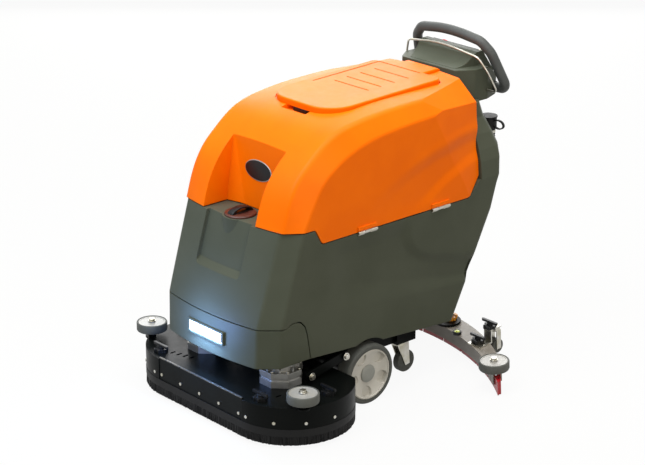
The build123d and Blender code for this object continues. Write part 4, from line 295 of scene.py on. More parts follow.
# Panel film: even charcoal, half gloss
FILM = Finish("Printed polyester film, charcoal", "black_plastic", "#22252A", "#1E2125", 0.35,
              mottle_mm=60, depth_mm=0.015)
# Display window: nearly black and mirror-smooth
GLASS = Finish("Acrylic window, smoked", "lamp", "#0C0F12", "#0A0C0F", 0.08, depth_mm=0.0)
# Level vial and panel lamps: bright yellow-green, glossy
VIAL = Finish("Acrylic vial, yellow-green", "yellow_knob", "#C9D64A", "#BFCC3F", 0.1, depth_mm=0.0)

BY_SLOT = {f.slot: f for f in (ORANGE, GREY, BLACK_STEEL, ZINC, CAST, TYRE, BUMPER, RUBBER, BLADE, BRISTLE,
                               BLACK, YELLOW, BROWN, LAMP, RED, KEYCAP, DISC)}
BY_NODE = {"front_plate": WORN_STEEL, "handlebar": GRIP, "control_panel": FILM, "tank_lid": ORANGE_LID,
           "squeegee_body": PAINTED_CAST}


def spun(shape: Shape, profile: Sequence[Pair], centre: Point, axis: Point, steps: int = 64) -> None:
    """Turn a line of (radius, height) points about an axis.

    Args:
        shape: Mesh that takes the form.
        profile: Points from the axis outwards and back.
        centre: Point on the axis at height 0.
        axis: Direction of the axis.
        steps: Number of steps in the full turn.
    """
    before = set(shape.verts)
    turn = Vector(axis).normalized()
    side = turn.orthogonal().normalized()
    line = [shape.verts.new(Vector(centre) + side * r + turn * h) for r, h in profile]
    runs = [shape.edges.new(pair) for pair in zip(line, line[1:])]
    bmesh.ops.spin(shape, geom=line + runs, cent=centre, axis=turn, angle=2 * pi, steps=steps, use_merge=True)
    bmesh.ops.remove_doubles(shape, verts=[v for v in shape.verts if v not in before], dist=WELD)


def bar(shape: Shape, start: Point, end: Point, radius: float, steps: int = 24,
        tip: float | None = None) -> None:
    """Add a round or many-sided bar with flat ends.

    Args:
        shape: Mesh that takes the bar.
        start: Middle of the first end.
        end: Middle of the last end.
        radius: Radius at the first end.
        steps: Number of sides.
        tip: Radius at the last end, the same as the first if left out.
    """
    run = Vector(end) - Vector(start)
    turn = run.to_track_quat("Z", "Y").to_matrix().to_4x4()
    place = Matrix.Translation((Vector(start) + Vector(end)) / 2) @ turn
    bmesh.ops.create_cone(shape, cap_ends=True, segments=steps, radius1=radius,
                          radius2=radius if tip is None else tip, depth=run.length, matrix=place)


def hex_bolt(shape: Shape, foot: Point, way: Point, levels: Point, washer: float, head: float) -> None:
    """Add a washer with a hexagon head on it.

    Args:
        shape: Mesh that takes both.
        foot: Point on the axis at level 0.
        way: Direction of the axis.
        levels: Washer's foot, head's foot and head's top.
        washer: Radius of the washer.
        head: Radius of the head's corners.
    """
    low, middle, high = (Vector(foot) + Vector(way) * level for level in levels)
    bar(shape, low, middle, washer, 32)
    bar(shape, middle, high, head, 6)


def slab(shape: Shape, outline: Sequence[Vector], lift: Vector) -> None:
    """Add a flat plate of any outline.

    Args:
        shape: Mesh that takes the plate.
        outline: Corners of one face, in order.
        lift: Way from that face to the other.
    """
    face = shape.faces.new([shape.verts.new(p) for p in outline])
    grown = bmesh.ops.extrude_face_region(shape, geom=[face], use_keep_orig=True)
    moved = [g for g in grown["geom"] if isinstance(g, bmesh.types.BMVert)]
    bmesh.ops.translate(shape, verts=moved, vec=lift)


def soften(shape: Shape, width: float, segments: int = 2, least: float = 30.0) -> None:
    """Round every sharp edge of a form.

    Args:
        shape: Mesh to soften.
        width: Width of the rounding.
        segments: Steps in the rounding.
        least: Angle in degrees from which an edge counts as sharp.
    """
    sharp = [e for e in shape.edges
             if len(e.link_faces) == 2 and e.calc_face_angle(0.0) > radians(least)]
    bmesh.ops.bevel(shape, geom=sharp, offset=width, affect="EDGES", segments=segments, profile=0.5,
                    material=-1, clamp_overlap=True)


def add_piece(name: str, shape: Shape, finish: Finish, body: str, *stands_for: str,
              turn: bool = True) -> bpy.types.Object:
    """Turn a shape drawn in millimetres into a finished piece.

    Args:
        name: Name of the piece.
        shape: The drawn form; it is used up.
        finish: Finish of the piece.
        body: Body that it moves with.
        *stands_for: Nodes that it takes the place of.
        turn: Whether its faces still have to be turned outwards.

    Returns:
        The new object.
    """
    if turn:
        bmesh.ops.recalc_face_normals(shape, faces=shape.faces)
    bmesh.ops.scale(shape, vec=(MM, MM, MM), verts=shape.verts)
    mesh = bpy.data.meshes.new(name)
    shape.to_mesh(mesh)
    shape.free()
    mesh.shade_smooth()
    mesh.set_sharp_from_angle(angle=radians(SHARP_DEG))
    mesh.materials.append(finish.material())
    made = bpy.data.objects.new(name, mesh)
    bpy.context.scene.collection.objects.link(made)
    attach(made, body)
    if stands_for:
        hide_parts(*stands_for)
    log.info("piece %s: %d faces on %s", name, len(mesh.polygons), body)
    return made


def dress() -> None:
    """Give every solid that keeps its drawn shape the finish of its slot, or one of its own."""
    for part in frame["record"]["subparts"]:
        finish = BY_NODE.get(part["node"], BY_SLOT[part["material_slot"]])
        mesh = frame["nodes"][part["node"]].data
        mesh.materials.clear()
        mesh.materials.append(finish.material())


@dataclass(frozen=True)
class TankPocket:
    """Shallow pocket in the tank's sides, which leaves a raised corner at the back.

    Foot, brow and corner are lines, given as (height at Y 0, slope). The pocket grows deep from foot to
    brow, and between the two marks of front, seam and corner_rim.
    """

    depth: float = 9.0
    foot: Pair = (319.2, -0.077)
    brow: Pair = (390.4, -0.208)
    front: Pair = (-314.0, -190.0)
    seam: Pair = (588.0, 520.0)
    corner: Pair = (544.784, -0.256)
    corner_y: float = 150.0
    corner_half: Pair = (140.0, 103.5)
    corner_rim: Pair = (0.62, 1.0)

    def __call__(self, y: float, z: float) -> float:
        """Find how far the side stands out at a place.

        Args:
            y: Place along the machine.
            z: Height.

        Returns:
            The distance, below 0 for a hollow.
        """
        foot, brow, corner = (at + slope * y for at, slope in (self.foot, self.brow, self.corner))
        inside = step(z, foot, brow) * step(y, *self.front) * step(z, *self.seam)
        across = max(self.corner_y - y, 0.0) / self.corner_half[0]
        below = max(corner - z, 0.0) / self.corner_half[1]
        return -self.depth * inside * step(hypot(across, below), *self.corner_rim)


@dataclass(frozen=True)
class HoodSweep:
    """Crest along the hood's sides and the hollow sweep below it.

    At the three radii about the middle the crest starts, the crest is full and the sweep is full. Upper and
    lower are the arcs that bound the sweep, given as (Y, Z, radius). Front and foot are where both fade in.
    """

    height: float = 2.0
    depth: float = 8.0
    middle: Pair = (368.0, -130.0)
    radii: Point = (965.0, 939.0, 890.0)
    upper: Point = (450.0, 135.0, 612.0)
    lower: Point = (398.0, 270.0, 427.0)
    front: Pair = (-180.0, 300.0)
    foot: Pair = (575.0, 640.0)

    def __call__(self, y: float, z: float) -> float:
        """Find how far the side stands out at a place.

        Args:
            y: Place along the machine.
            z: Height.

        Returns:
            The distance, below 0 for a hollow.
        """
        start, full, deep = self.radii
        away = dist((y, z), self.middle)
        upper = self.upper[2] - dist((y, z), self.upper[:2])
        lower = dist((y, z), self.lower[:2]) - self.lower[2]
        fall = step(away, full, deep)
        valley = fall * (1 - step(upper / max(upper + lower, 1.0), 0.0, 1.0))
        crest = self.height * step(away, start, full) * (1 - fall)
        return (crest - self.depth * valley) * step(y, *self.front) * step(z, *self.foot)


@dataclass
class MouldedShell:
    """A hollow moulding whose flat sides carry a shallow moulded form.

    The form lies between the Y and Z of low and high, on faces past the wall plane whose normal has an X
    above upright. The reach is the step that gives its slope.
    """

    name: str
    solid: str
    body: str
    finish: Finish
    form: Callable[[float, float], float]
    low: Pair
    high: Pair
    wall: float = 225.0
    upright: float = 0.8
    pitch: float = 9.0
    reach: float = 1.0

    def build(self) -> None:
        """Cut the sides of the solid into a fine grid and press the form into it."""
        source = frame["nodes"][self.solid].data
        shape = bmesh.new()
        shape.from_mesh(source)
        drawn = shape.loops.layers.float_vector.new("drawn")
        corners = iter(source.corner_normals)
        for face in shape.faces:
            for loop in face.loops:
                loop[drawn] = next(corners).vector
        bmesh.ops.scale(shape, vec=(1 / MM, 1 / MM, 1 / MM), verts=shape.verts)
        bmesh.ops.remove_doubles(shape, verts=shape.verts, dist=WELD)
        for axis, (start, stop) in enumerate(zip(self.low, self.high), 1):
            way = Vector((0, axis == 1, axis == 2))
            for i in range(int((stop - start) / self.pitch) + 1):
                faces = self.sides(shape)
                edges = {e for f in faces for e in f.edges}
                verts = {v for f in faces for v in f.verts}
                bmesh.ops.bisect_plane(shape, geom=[*faces, *edges, *verts], dist=WELD,
                                       plane_co=way * (start + i * self.pitch), plane_no=way)
        sides = self.sides(shape)
        for face in sides:
            for loop in face.loops:
                loop[drawn] = self.leaning(Vector(loop[drawn]), loop.vert.co)
        for vert in {v for f in sides for v in f.verts}:
            vert.co.x += copysign(1, vert.co.x) * self.form(vert.co.y, vert.co.z)
        mesh = add_piece(self.name, shape, self.finish, self.body, self.solid, turn=False).data
        kept = mesh.attributes["drawn"]
        normals = [tuple(corner.vector) for corner in kept.data]
        mesh.attributes.remove(kept)
        mesh.normals_split_custom_set(normals)

    def leaning(self, normal: Vector, place: Vector) -> Vector:
        """Lean a normal of the flat side with the slope of the form.

        Args:
            normal: Normal of the flat side.
            place: Point on the side.

        Returns:
            Normal of the moulded side.
        """
        y, z, d = place.y, place.z, self.reach
        along = self.form(y - d, z) - self.form(y + d, z)
        upward = self.form(y, z - d) - self.form(y, z + d)
        slope = Vector((0, along, upward)) / (2 * d)
        return (normal + slope * copysign(1, normal.x * place.x)).normalized()

    def sides(self, shape: Shape) -> list[bmesh.types.BMFace]:
        """Find the faces of both side walls, outside and inside."""
        return [f for f in shape.faces
                if abs(f.normal.x) > self.upright and abs(f.calc_center_median().x) > self.wall]


@dataclass
class DriveWheel:
    """Rim and hub cap of one drive wheel, inside its tyre."""

    hand: str
    side: int
    middle: Pair = (-122.0, 100.0)
    plane: float = 247.0
    bowl: tuple[Pair, Pair] = ((30.0, 14.0), (77.0, 24.5))
    bowl_power: float = 2.2
    bowl_steps: int = 44
    outside: Profile = (
        (78.2, 27), (82, 27), (83.8, 25.5), (83.8, -27), (76, -27), (72, -12), (30, -9), (13, -9),
        (13, 9), (0, 9))
    steps: int = 200
    cap: Profile = ((0, 21), (14, 20.6), (26.5, 19.4), (29, 17.4), (29, 12), (0, 12))
    cap_steps: int = 48
    pockets: int = 5
    pocket_turn: float = 47.0
    pocket_at: float = 63.0
    pocket_radius: float = 20.5
    pocket_wall: float = 2.4
    pocket_floor: float = 10.5
    pocket_span: Pair = (31.0, 77.0)

    def build(self) -> None:
        """Make the bowl-shaped rim with its pockets, and the hub cap."""
        out = (self.side, 0, 0)
        centre = (self.side * self.plane, *self.middle)
        (inner, low), (outer, high) = self.bowl
        shares = [i / self.bowl_steps for i in range(self.bowl_steps + 1)]
        bowl = [(inner + s * (outer - inner), low + (high - low) * s ** self.bowl_power) for s in shares]
        shape = bmesh.new()
        spun(shape, [(0, low), *bowl, *self.outside], centre, out, self.steps)
        self.press(shape, centre)
        wheel = f"{self.hand}_wheel"
        add_piece(f"{wheel}_rim", shape, DISC, wheel, f"{self.hand}_rim")
        cap = bmesh.new()
        spun(cap, self.cap, centre, out, self.cap_steps)
        add_piece(f"{wheel}_cap", cap, HUB, wheel)

    def press(self, shape: Shape, centre: Point) -> None:
        """Press the flat-floored round pockets into the front of the bowl.

        Args:
            shape: Mesh of the rim.
            centre: Middle of the wheel.
        """
        turns = [radians(self.pocket_turn) + 2 * pi * i / self.pockets for i in range(self.pockets)]
        spots = [Vector((cos(t), sin(t))) * self.pocket_at for t in turns]
        inner, outer = self.pocket_span
        for vert in shape.verts:
            flat = Vector((vert.co.y - centre[1], vert.co.z - centre[2]))
            height = self.side * (vert.co.x - centre[0])
            if height < self.pocket_floor or not inner < flat.length <= outer:
                continue
            near = min((flat - spot).length for spot in spots)
            share = step(near, self.pocket_radius, self.pocket_radius - self.pocket_wall)
            vert.co.x -= self.side * (height - self.pocket_floor) * share


@dataclass
class BumperWheel:
    """Rubber-ringed guard wheel with a pale disc and a bolt."""

    name: str
    node: str
    body: str
    carrier: str
    centre: Point
    up: Point
    ring: Profile = (
        (44.5, 12), (44.5, 14), (45.5, 15), (46, 15), (48.8, 13.8), (50, 11), (50, -11), (48.8, -13.8),
        (46, -15), (45.5, -15), (44.5, -14), (44.5, -12), (42.5, -12), (42.5, 12), (44.5, 12))
    disc: Profile = (
        (5.3, 14), (11, 14), (12.5, 12.8), (38.5, 12.4), (40, 13.4), (43.9, 13.4), (44.1, 12), (42.5, 11.6),
        (42.5, -11.6), (44.1, -12), (40.5, -13.2), (12, -12.6), (11, -14), (5.3, -14), (5.3, 14))
    bolt: tuple[Point, float, float] = ((15.6, 17.2, 23.5), 13.0, 10.6)

    def build(self) -> None:
        """Make the ring, the disc and the bolt with its washer."""
        # The disc takes the darker grey of painted shade, as it lies flat facing the lamps
        for part, profile, finish in (("ring", self.ring, BUMPER), ("disc", self.disc, DISC_PAINTED_SHADE)):
            shape = bmesh.new()
            spun(shape, profile, self.centre, self.up)
            add_piece(f"{self.name}_{part}", shape, finish, self.body, self.node)
        bolt = bmesh.new()
        hex_bolt(bolt, self.centre, Vector(self.up).normalized(), *self.bolt)
        soften(bolt, BOLT_ROUND, 1)
        add_piece(f"{self.name}_bolt", bolt, ZINC, self.carrier)


@dataclass
class BrushDeck:
    """Bristle skirt, disc brushes, bolts and guard wheels of the brush deck."""

    middle_y: float = -394.0
    straight: float = 204.0
    back: float = -233.5
    skirt_line: float = 196.5
    skirt_rows: Point = (-1.6, 0.2, 1.9)
    skirt_strands: int = 760
    strand_z: Pair = (42.5, 12.4)
    strand_radii: Pair = (1.9, 1.7)
    strand_stray: float = 0.2
    strand_lean: float = 1.2
    strand_ragged: float = 1.6
    seed: int = 11
    brush_x: float = 178.0
    brush_y: float = -411.0
    brush_block: Profile = (
        (12.2, 104), (28, 104), (30, 102), (30, 84), (60, 80), (167, 80), (170, 77), (170, 64), (168, 62),
        (60, 62), (12.2, 62), (12.2, 104))
    tuft_rings: tuple[tuple[float, int], ...] = (
        (162, 60), (148, 54), (134, 48), (120, 44), (106, 38), (92, 34), (78, 28))
    tuft_z: float = 62.5
    tuft_run: Pair = (3.0, 50.0)
    tuft_radii: Pair = (3.4, 5.2)
    guard_at: Point = (371.0, -491.0, 171.0)
    box_bolts: int = 8
    box_ring: float = 62.0
    box_z: Pair = (184.8, 190.0)
    box_bolt_radius: float = 5.0
    pivots: tuple[tuple[str, str, Pair], ...] = (
        ("deck_pivot_bolts", "deck", (-358.0, 160.0)), ("frame_pivot_bolts", "chassis", (-215.0, 186.0)))
    pivot_bolt: tuple[Point, float, float] = ((262.8, 264.4, 270.5), 12.5, 9.2)

    def build(self) -> None:
        """Make every piece of the deck that is not a plain solid."""
        self.skirt()
        x, y, z = self.guard_at
        for hand, side in HANDS:
            self.disc_brush(hand, side)
            BumperWheel(f"{hand}_guard", f"{hand}_bumper_wheel", f"{hand}_bumper", "deck",
                        (side * x, y, z), (0, 0, 1)).build()
        self.bolts()

    def on_skirt(self, share: float, offset: float) -> Pair:
        """Find a place on the skirt's line: straight front, round end and straight back on either side.

        Args:
            share: Share of the whole way round, from 0 to 1.
            offset: Step outwards from the line.

        Returns:
            X and Y of the place.
        """
        line, flat, reach = self.skirt_line, self.straight, self.skirt_line + offset
        end = asin((self.back - self.middle_y) / line)
        arc = (pi / 2 + end) * line
        half = 2 * flat + arc + line * cos(end)
        way = share * 2 * half - flat
        side = 1 if 0 <= way <= half else -1
        way = min(abs(way), 2 * half - way)
        if way < flat:
            return side * way, self.middle_y - reach
        if way < flat + arc:
            turn = (way - flat) / line - pi / 2
            return side * (flat + reach * cos(turn)), self.middle_y + reach * sin(turn)
        return side * (half - way), self.back + offset

    def skirt(self) -> None:
        """Make the dense rows of splash bristles round the deck."""
        chance = random.Random(self.seed)
        stray, lean, (top, foot) = self.strand_stray, self.strand_lean, self.strand_z
        root, tip = self.strand_radii
        shape = bmesh.new()
        for row, offset in enumerate(self.skirt_rows):
            for i in range(self.skirt_strands):
                at = i + row / len(self.skirt_rows) + chance.uniform(-stray, stray)
                x, y = self.on_skirt(at / self.skirt_strands % 1.0, offset)
                aside, along = chance.uniform(-lean, lean), chance.uniform(-lean, lean)
                end = foot + chance.uniform(0, self.strand_ragged)
                bar(shape, (x, y, top), (x + aside, y + along, end), root, 4, tip)
        add_piece("deck_skirt_bristles", shape, BRISTLE, "deck", "skirt_bristles")

    def disc_brush(self, hand: str, side: int) -> None:
        """Make one disc brush with its rings of tufts.

        Args:
            hand: Side of the machine by name.
            side: 1 on the left, -1 on the right.
        """
        x = side * self.brush_x
        block = bmesh.new()
        spun(block, self.brush_block, (x, self.brush_y, 0), (0, 0, 1), 96)
        add_piece(f"{hand}_brush_block", block, BLACK, f"{hand}_disc", f"{hand}_brush")
        tufts = bmesh.new()
        (out, drop), (thin, thick) = self.tuft_run, self.tuft_radii
        for radius, count in self.tuft_rings:
            for i in range(count):
                turn = 2 * pi * i / count
                way = Vector((cos(turn), sin(turn), 0))
                root = Vector((x, self.brush_y, self.tuft_z)) + way * radius
                bar(tufts, root, root + way * out - Vector((0, 0, drop)), thin, 6, thick)
        add_piece(f"{hand}_brush_tufts", tufts, BRISTLE, f"{hand}_disc", f"{hand}_brush")

    def bolts(self) -> None:
        """Put hexagon bolts on the gearboxes' corners and on the pivots of the lift arms."""
        shape = bmesh.new()
        low, high = self.box_z
        for side in (-1, 1):
            for i in range(self.box_bolts):
                turn = 2 * pi * (i + 0.5) / self.box_bolts
                x = side * self.brush_x + self.box_ring * cos(turn)
                y = self.brush_y + self.box_ring * sin(turn)
                bar(shape, (x, y, low), (x, y, high), self.box_bolt_radius, 6)
        soften(shape, BOLT_ROUND, 1)
        add_piece("gearbox_bolts", shape, ZINC, "deck")
        for name, body, at in self.pivots:
            shape = bmesh.new()
            for side in (-1, 1):
                hex_bolt(shape, (0, *at), (side, 0, 0), *self.pivot_bolt)
            soften(shape, BOLT_ROUND, 1)
            add_piece(name, shape, ZINC, body)


@dataclass
class Filler:
    """Filler cap with its arched grip, and the bare oval plate above it.

    A layer of the plate is its name, inset, height and finish.
    """

    middle_y: float = -417.0
    seat: float = 637.0
    cap: Profile = ((0, 6), (22, 6), (26, 7.5), (44, 7.5), (48, 6.5), (50, 4), (50, 0.4), (43, 0.4),
                    (43, -25), (38, -25), (38, -3), (0, -3))
    cap_steps: int = 72
    grip_half: float = 12.5
    grip_arch: Pair = (42.0, 19.0)
    grip_wall: float = 4.5
    grip_lift: float = 6.0
    grip_foot: float = 5.0
    grip_round: float = 1.2
    arch_steps: int = 16
    plate_half: Pair = (62.0, 33.0)
    plate_at: Point = (0.0, -342.8, 760.0)
    plate_foot: float = -1.0
    plate_round: float = 0.7
    plate_steps: int = 72
    plate_layers: tuple[tuple[str, float, float, Finish], ...] = (
        ("scoop_plate_rim", 0.0, 1.6, CAST), ("scoop_plate", 2.5, 2.2, BLACK))
    wall_lean: Pair = (15.0, 220.0)
    crease: float = 50.0

    def build(self) -> None:
        """Make the cap, its grip and the oval plate."""
        y, z = self.middle_y, self.seat
        cap = bmesh.new()
        spun(cap, self.cap, (0, y, z), (0, 0, 1), self.cap_steps)
        add_piece("filler_cap_disc", cap, BROWN, "cap", "fill_cap")
        grip = bmesh.new()
        half, (long, high), wall = self.grip_half, self.grip_arch, self.grip_wall
        turns = [pi * i / self.arch_steps for i in range(self.arch_steps + 1)]
        outer = [(long * cos(t), high * sin(t)) for t in turns]
        inner = [((long - 2 * wall) * cos(t), (high - wall) * sin(t)) for t in turns]
        line = [Vector((-half, y + a, z + self.grip_lift + b)) for a, b in outer + inner[::-1]]
        slab(grip, line, Vector((2 * half, 0, 0)))
        foot = [Vector((a * half, y + b * long, z + self.grip_foot)) for a, b in CORNERS]
        slab(grip, foot, Vector((0, 0, wall)))
        soften(grip, self.grip_round, 2, self.crease)
        add_piece("filler_cap_grip", grip, BLACK, "cap", "fill_cap")
        self.oval_plate()

    def oval_plate(self) -> None:
        """Make the bare black oval plate on the scoop's wall, with its metal rim."""
        up = Vector((0, *self.wall_lean)).normalized()
        out = Vector((0, -up.z, up.y))
        middle, drop = Vector(self.plate_at), out * self.plate_foot
        turns = [2 * pi * i / self.plate_steps for i in range(self.plate_steps)]
        for name, inset, top, finish in self.plate_layers:
            across, tall = (half - inset for half in self.plate_half)
            shape = bmesh.new()
            line = [middle + Vector((across * cos(t), 0, 0)) + up * tall * sin(t) + drop for t in turns]
            slab(shape, line, out * (top - self.plate_foot))
            soften(shape, self.plate_round, 2, self.crease)
            add_piece(name, shape, finish, "hood")


@dataclass
class DrainHose:
    """Ribbed drain hose with its elbow and clamps.

    A clamp is its inner radius, outer radius and width.
    """

    at: Pair = (157.0, 512.0)
    span: Pair = (605.0, 757.0)
    core: float = 21.0
    bore: float = 18.0
    rib: Profile = ((21, 1.6), (23.2, 2.4), (24, 3.6), (24, 5), (23.2, 6.2), (21, 7))
    pitch: float = 8.0
    clamp: Point = (21.6, 24.6, 9.0)
    clamp_at: Pair = (-8.0, -14.0)
    screw: tuple[Point, Point] = ((18.0, 17.0, -3.5), (23.0, 22.0, -3.5))
    screw_radius: float = 4.0
    elbow: float = 40.0
    elbow_steps: int = 14
    overlap: float = 2.0
    level: float = 557.0
    wall: float = 440.0

    def build(self) -> None:
        """Make the ribbed stretch, the elbow and the two clamps."""
        foot, head = self.span
        line = [(self.core, foot)]
        for i in range(int((head - foot) / self.pitch)):
            line += [(radius, foot + i * self.pitch + lift) for radius, lift in self.rib]
        line += [(self.core, head), (self.bore, head), (self.bore, foot), (self.core, foot)]
        hose = bmesh.new()
        spun(hose, line, (*self.at, 0), (0, 0, 1), 40)
        add_piece("drain_hose_ribbed", hose, RUBBER, "chassis", "drain_hose")
        self.bend()
        clamps = bmesh.new()
        near, far, wide = self.clamp
        for low in (foot + self.clamp_at[0], head + self.clamp_at[1]):
            spun(clamps, [(near, low), (far, low), (far, low + wide), (near, low + wide), (near, low)],
                 (*self.at, 0), (0, 0, 1), 48)
        ends = [Vector((*self.at, foot)) + Vector(end) for end in self.screw]
        bar(clamps, *ends, self.screw_radius, 6)
        add_piece("drain_hose_clamps", clamps, ZINC, "chassis")

    def bend(self) -> None:
        """Make the plain elbow from the ribbed stretch into the tank."""
        x, y = self.at
        top = self.span[0] + self.overlap
        shape = bmesh.new()
        ring = bmesh.ops.create_circle(shape, segments=32, radius=self.core,
                                       matrix=Matrix.Translation((x, y, top)))["verts"]
        edges = list({e for v in ring for e in v.link_edges})
        grown = bmesh.ops.extrude_edge_only(shape, edges=edges)["geom"]
        bmesh.ops.translate(shape, verts=[g for g in grown if isinstance(g, bmesh.types.BMVert)],
                            vec=(0, 0, self.level + self.elbow - top))
        turned = bmesh.ops.spin(shape, geom=[g for g in grown if not isinstance(g, bmesh.types.BMFace)],
                                cent=(x, y - self.elbow, self.level + self.elbow), axis=(-1, 0, 0),
                                angle=pi / 2, steps=self.elbow_steps)
        last = [g for g in turned["geom_last"] if isinstance(g, bmesh.types.BMEdge)]
        grown = bmesh.ops.extrude_edge_only(shape, edges=last)["geom"]
        tail = [g for g in grown if isinstance(g, bmesh.types.BMVert)]
        bmesh.ops.translate(shape, verts=tail, vec=(0, self.wall - (y - self.elbow), 0))
        bmesh.ops.holes_fill(shape, edges=[e for e in shape.edges if e.is_boundary])
        bmesh.ops.remove_doubles(shape, verts=shape.verts, dist=WELD)
        add_piece("drain_hose_elbow", shape, RUBBER, "chassis", "drain_hose")


@dataclass
class Fittings:
    """Headlamp gasket, lid latch and collars of the handle."""

    lamp_half: float = 80.0
    lamp_z: Pair = (270.0, 303.0)
    lamp_face: float = -563.0
    gasket: Pair = (3.4, 5.6)
    gasket_height: float = 1.2
    latch: tuple[Point, Point] = ((-20.0, -184.0, 916.2), (44.0, -166.0, 930.0))
    latch_round: float = 2.0
    collar: Profile = ((17, 132), (20, 132), (20, 140), (19, 141), (17, 141), (17, 132))
    collar_at: Pair = (554.5, 883.7)

    def build(self) -> None:
        """Make all three kinds of fittings."""
        ring = bmesh.new()
        (low, high), (near, far), half = self.lamp_z, self.gasket, self.lamp_half
        for foot, head in ((low + near, low + far), (high - far, high - near)):
            self.strip(ring, half - near, foot, near - half, head)
        for side in (-1, 1):
            self.strip(ring, side * (half - near), low + near, side * (half - far), high - near)
        add_piece("headlamp_gasket", ring, RUBBER, "chassis")
        latch = bmesh.new()
        (x0, y0, z0), (x1, y1, z1) = self.latch
        foot = [Vector((x, y, z0)) for x, y in ((x0, y0), (x1, y0), (x1, y1), (x0, y1))]
        slab(latch, foot, Vector((0, 0, z1 - z0)))
        soften(latch, self.latch_round, 3)
        add_piece("lid_latch", latch, BLACK, "hood")
        collars = bmesh.new()
        for side in (-1, 1):
            spun(collars, self.collar, (0, *self.collar_at), (side, 0, 0), 40)
        add_piece("handle_collars", collars, BLACK, "chassis")

    def strip(self, shape: Shape, x0: float, z0: float, x1: float, z1: float) -> None:
        """Add one thin straight side of the gasket on the lens, given by two opposite corners."""
        line = [Vector((x, self.lamp_face, z)) for x, z in ((x0, z0), (x1, z0), (x1, z1), (x0, z1))]
        slab(shape, line, Vector((0, -self.gasket_height, 0)))


@dataclass
class ControlDesk:
    """Display window and lamps on the operator's panel."""

    middle: Point = (0.0, 537.0, 972.0)
    slope: Pair = (80.0, 58.0)
    face: float = 3.0
    window_at: Pair = (-14.0, 14.0)
    window_size: Pair = (92.0, 30.0)
    window_height: float = 1.6
    window_round: float = 0.6
    lamps: tuple[float, ...] = (-44.0, -29.0, -14.0, 1.0, 16.0)
    lamp_line: float = -8.0
    lamp_lift: Pair = (-0.5, 1.2)
    lamp_radius: float = 2.2

    def place(self, x: float, y: float, lift: float) -> Vector:
        """Place of a point that is x to the operator's right, y up the panel and lift above it."""
        out = Vector((0, *self.slope)).normalized()
        return Vector(self.middle) + Vector((-x, -out.z * y, out.y * y)) + out * lift

    def build(self) -> None:
        """Make the window and the row of lamps."""
        (x, y), (wide, tall) = self.window_at, self.window_size
        glass = bmesh.new()
        line = [self.place(x + a * wide / 2, y + b * tall / 2, self.face) for a, b in CORNERS]
        slab(glass, line, self.place(0, 0, self.window_height) - self.place(0, 0, 0))
        soften(glass, self.window_round, 2)
        add_piece("panel_window", glass, GLASS, "chassis")
        dots = bmesh.new()
        for at in self.lamps:
            foot, head = (self.place(at, self.lamp_line, self.face + lift) for lift in self.lamp_lift)
            bar(dots, foot, head, self.lamp_radius, 16)
        add_piece("panel_lamps", dots, VIAL, "chassis")


@dataclass
class Squeegee:
    """Rollers, level vial and joined blade ends of the squeegee, all in its own tilted plane."""

    origin: Pair = (378.0, 16.0)
    tilt: float = 4.2
    roller_at: Point = (458.0, -122.0, 79.0)
    level_at: Point = (188.0, -16.0, 60.0)
    level_seat: Profile = ((0, 0), (15, 0), (15, 8), (13, 10), (11, 10), (10, 8), (0, 8))
    level_vial: Profile = ((0, 8), (10, 8), (9, 10.5), (5, 12), (0, 12.6))
    blade_gap: Profile = ((511.6, -160.5), (511.6, -151.5), (474.0, -113.5), (474.0, -134.0))
    blade_z: Pair = (1.0, 47.0)

    def place(self, x: float, y: float, z: float) -> Vector:
        """Place of a point that is x to the left, y back and z up in the squeegee's own plane."""
        t = radians(self.tilt)
        return Vector((x, self.origin[0] + y * cos(t) - z * sin(t), self.origin[1] + y * sin(t) + z * cos(t)))

    def build(self) -> None:
        """Make the rollers, the level and the ends of the blades."""
        up = self.place(0, 0, 1) - self.place(0, 0, 0)
        x, y, z = self.roller_at
        for hand, side in HANDS:
            BumperWheel(f"{hand}_end_roller", f"{hand}_roller", f"{hand}_roll", "squeegee",
                        self.place(side * x, y, z), up).build()
        for name, profile, finish in (("seat", self.level_seat, BLACK), ("vial", self.level_vial, VIAL)):
            shape = bmesh.new()
            spun(shape, profile, self.place(*self.level_at), up, 40)
            add_piece(f"level_{name}", shape, finish, "squeegee")
        ends = bmesh.new()
        low, high = self.blade_z
        for side in (-1, 1):
            slab(ends, [self.place(side * x, y, low) for x, y in self.blade_gap], up * (high - low))
        add_piece("blade_ends", ends, BLADE, "squeegee")


@dataclass(frozen=True)
class SoftLamp:
    """One soft lamp, with place, aim and sides in metres and power in watts."""

    name: str
    place: Point
    size: float
    power: float
    colour: str
    aim: Point = (0.0, 0.0, 0.45)
    height: float | None = None

    def hang(self) -> None:
        """Hang the lamp, square unless it has a height of its own."""
        data = bpy.data.lights.new(self.name, "AREA")
        data.size = self.size
        data.energy = self.power
        data.color = linear(self.colour)[:3]
        if self.height is not None:
            data.shape = "RECTANGLE"
            data.size_y = self.height
        made = bpy.data.objects.new(self.name, data)
        made.location = self.place
        made.rotation_mode = "QUATERNION"
        made.rotation_quaternion = (Vector(self.aim) - Vector(self.place)).to_track_quat("-Z", "Y")
        bpy.context.scene.collection.objects.link(made)


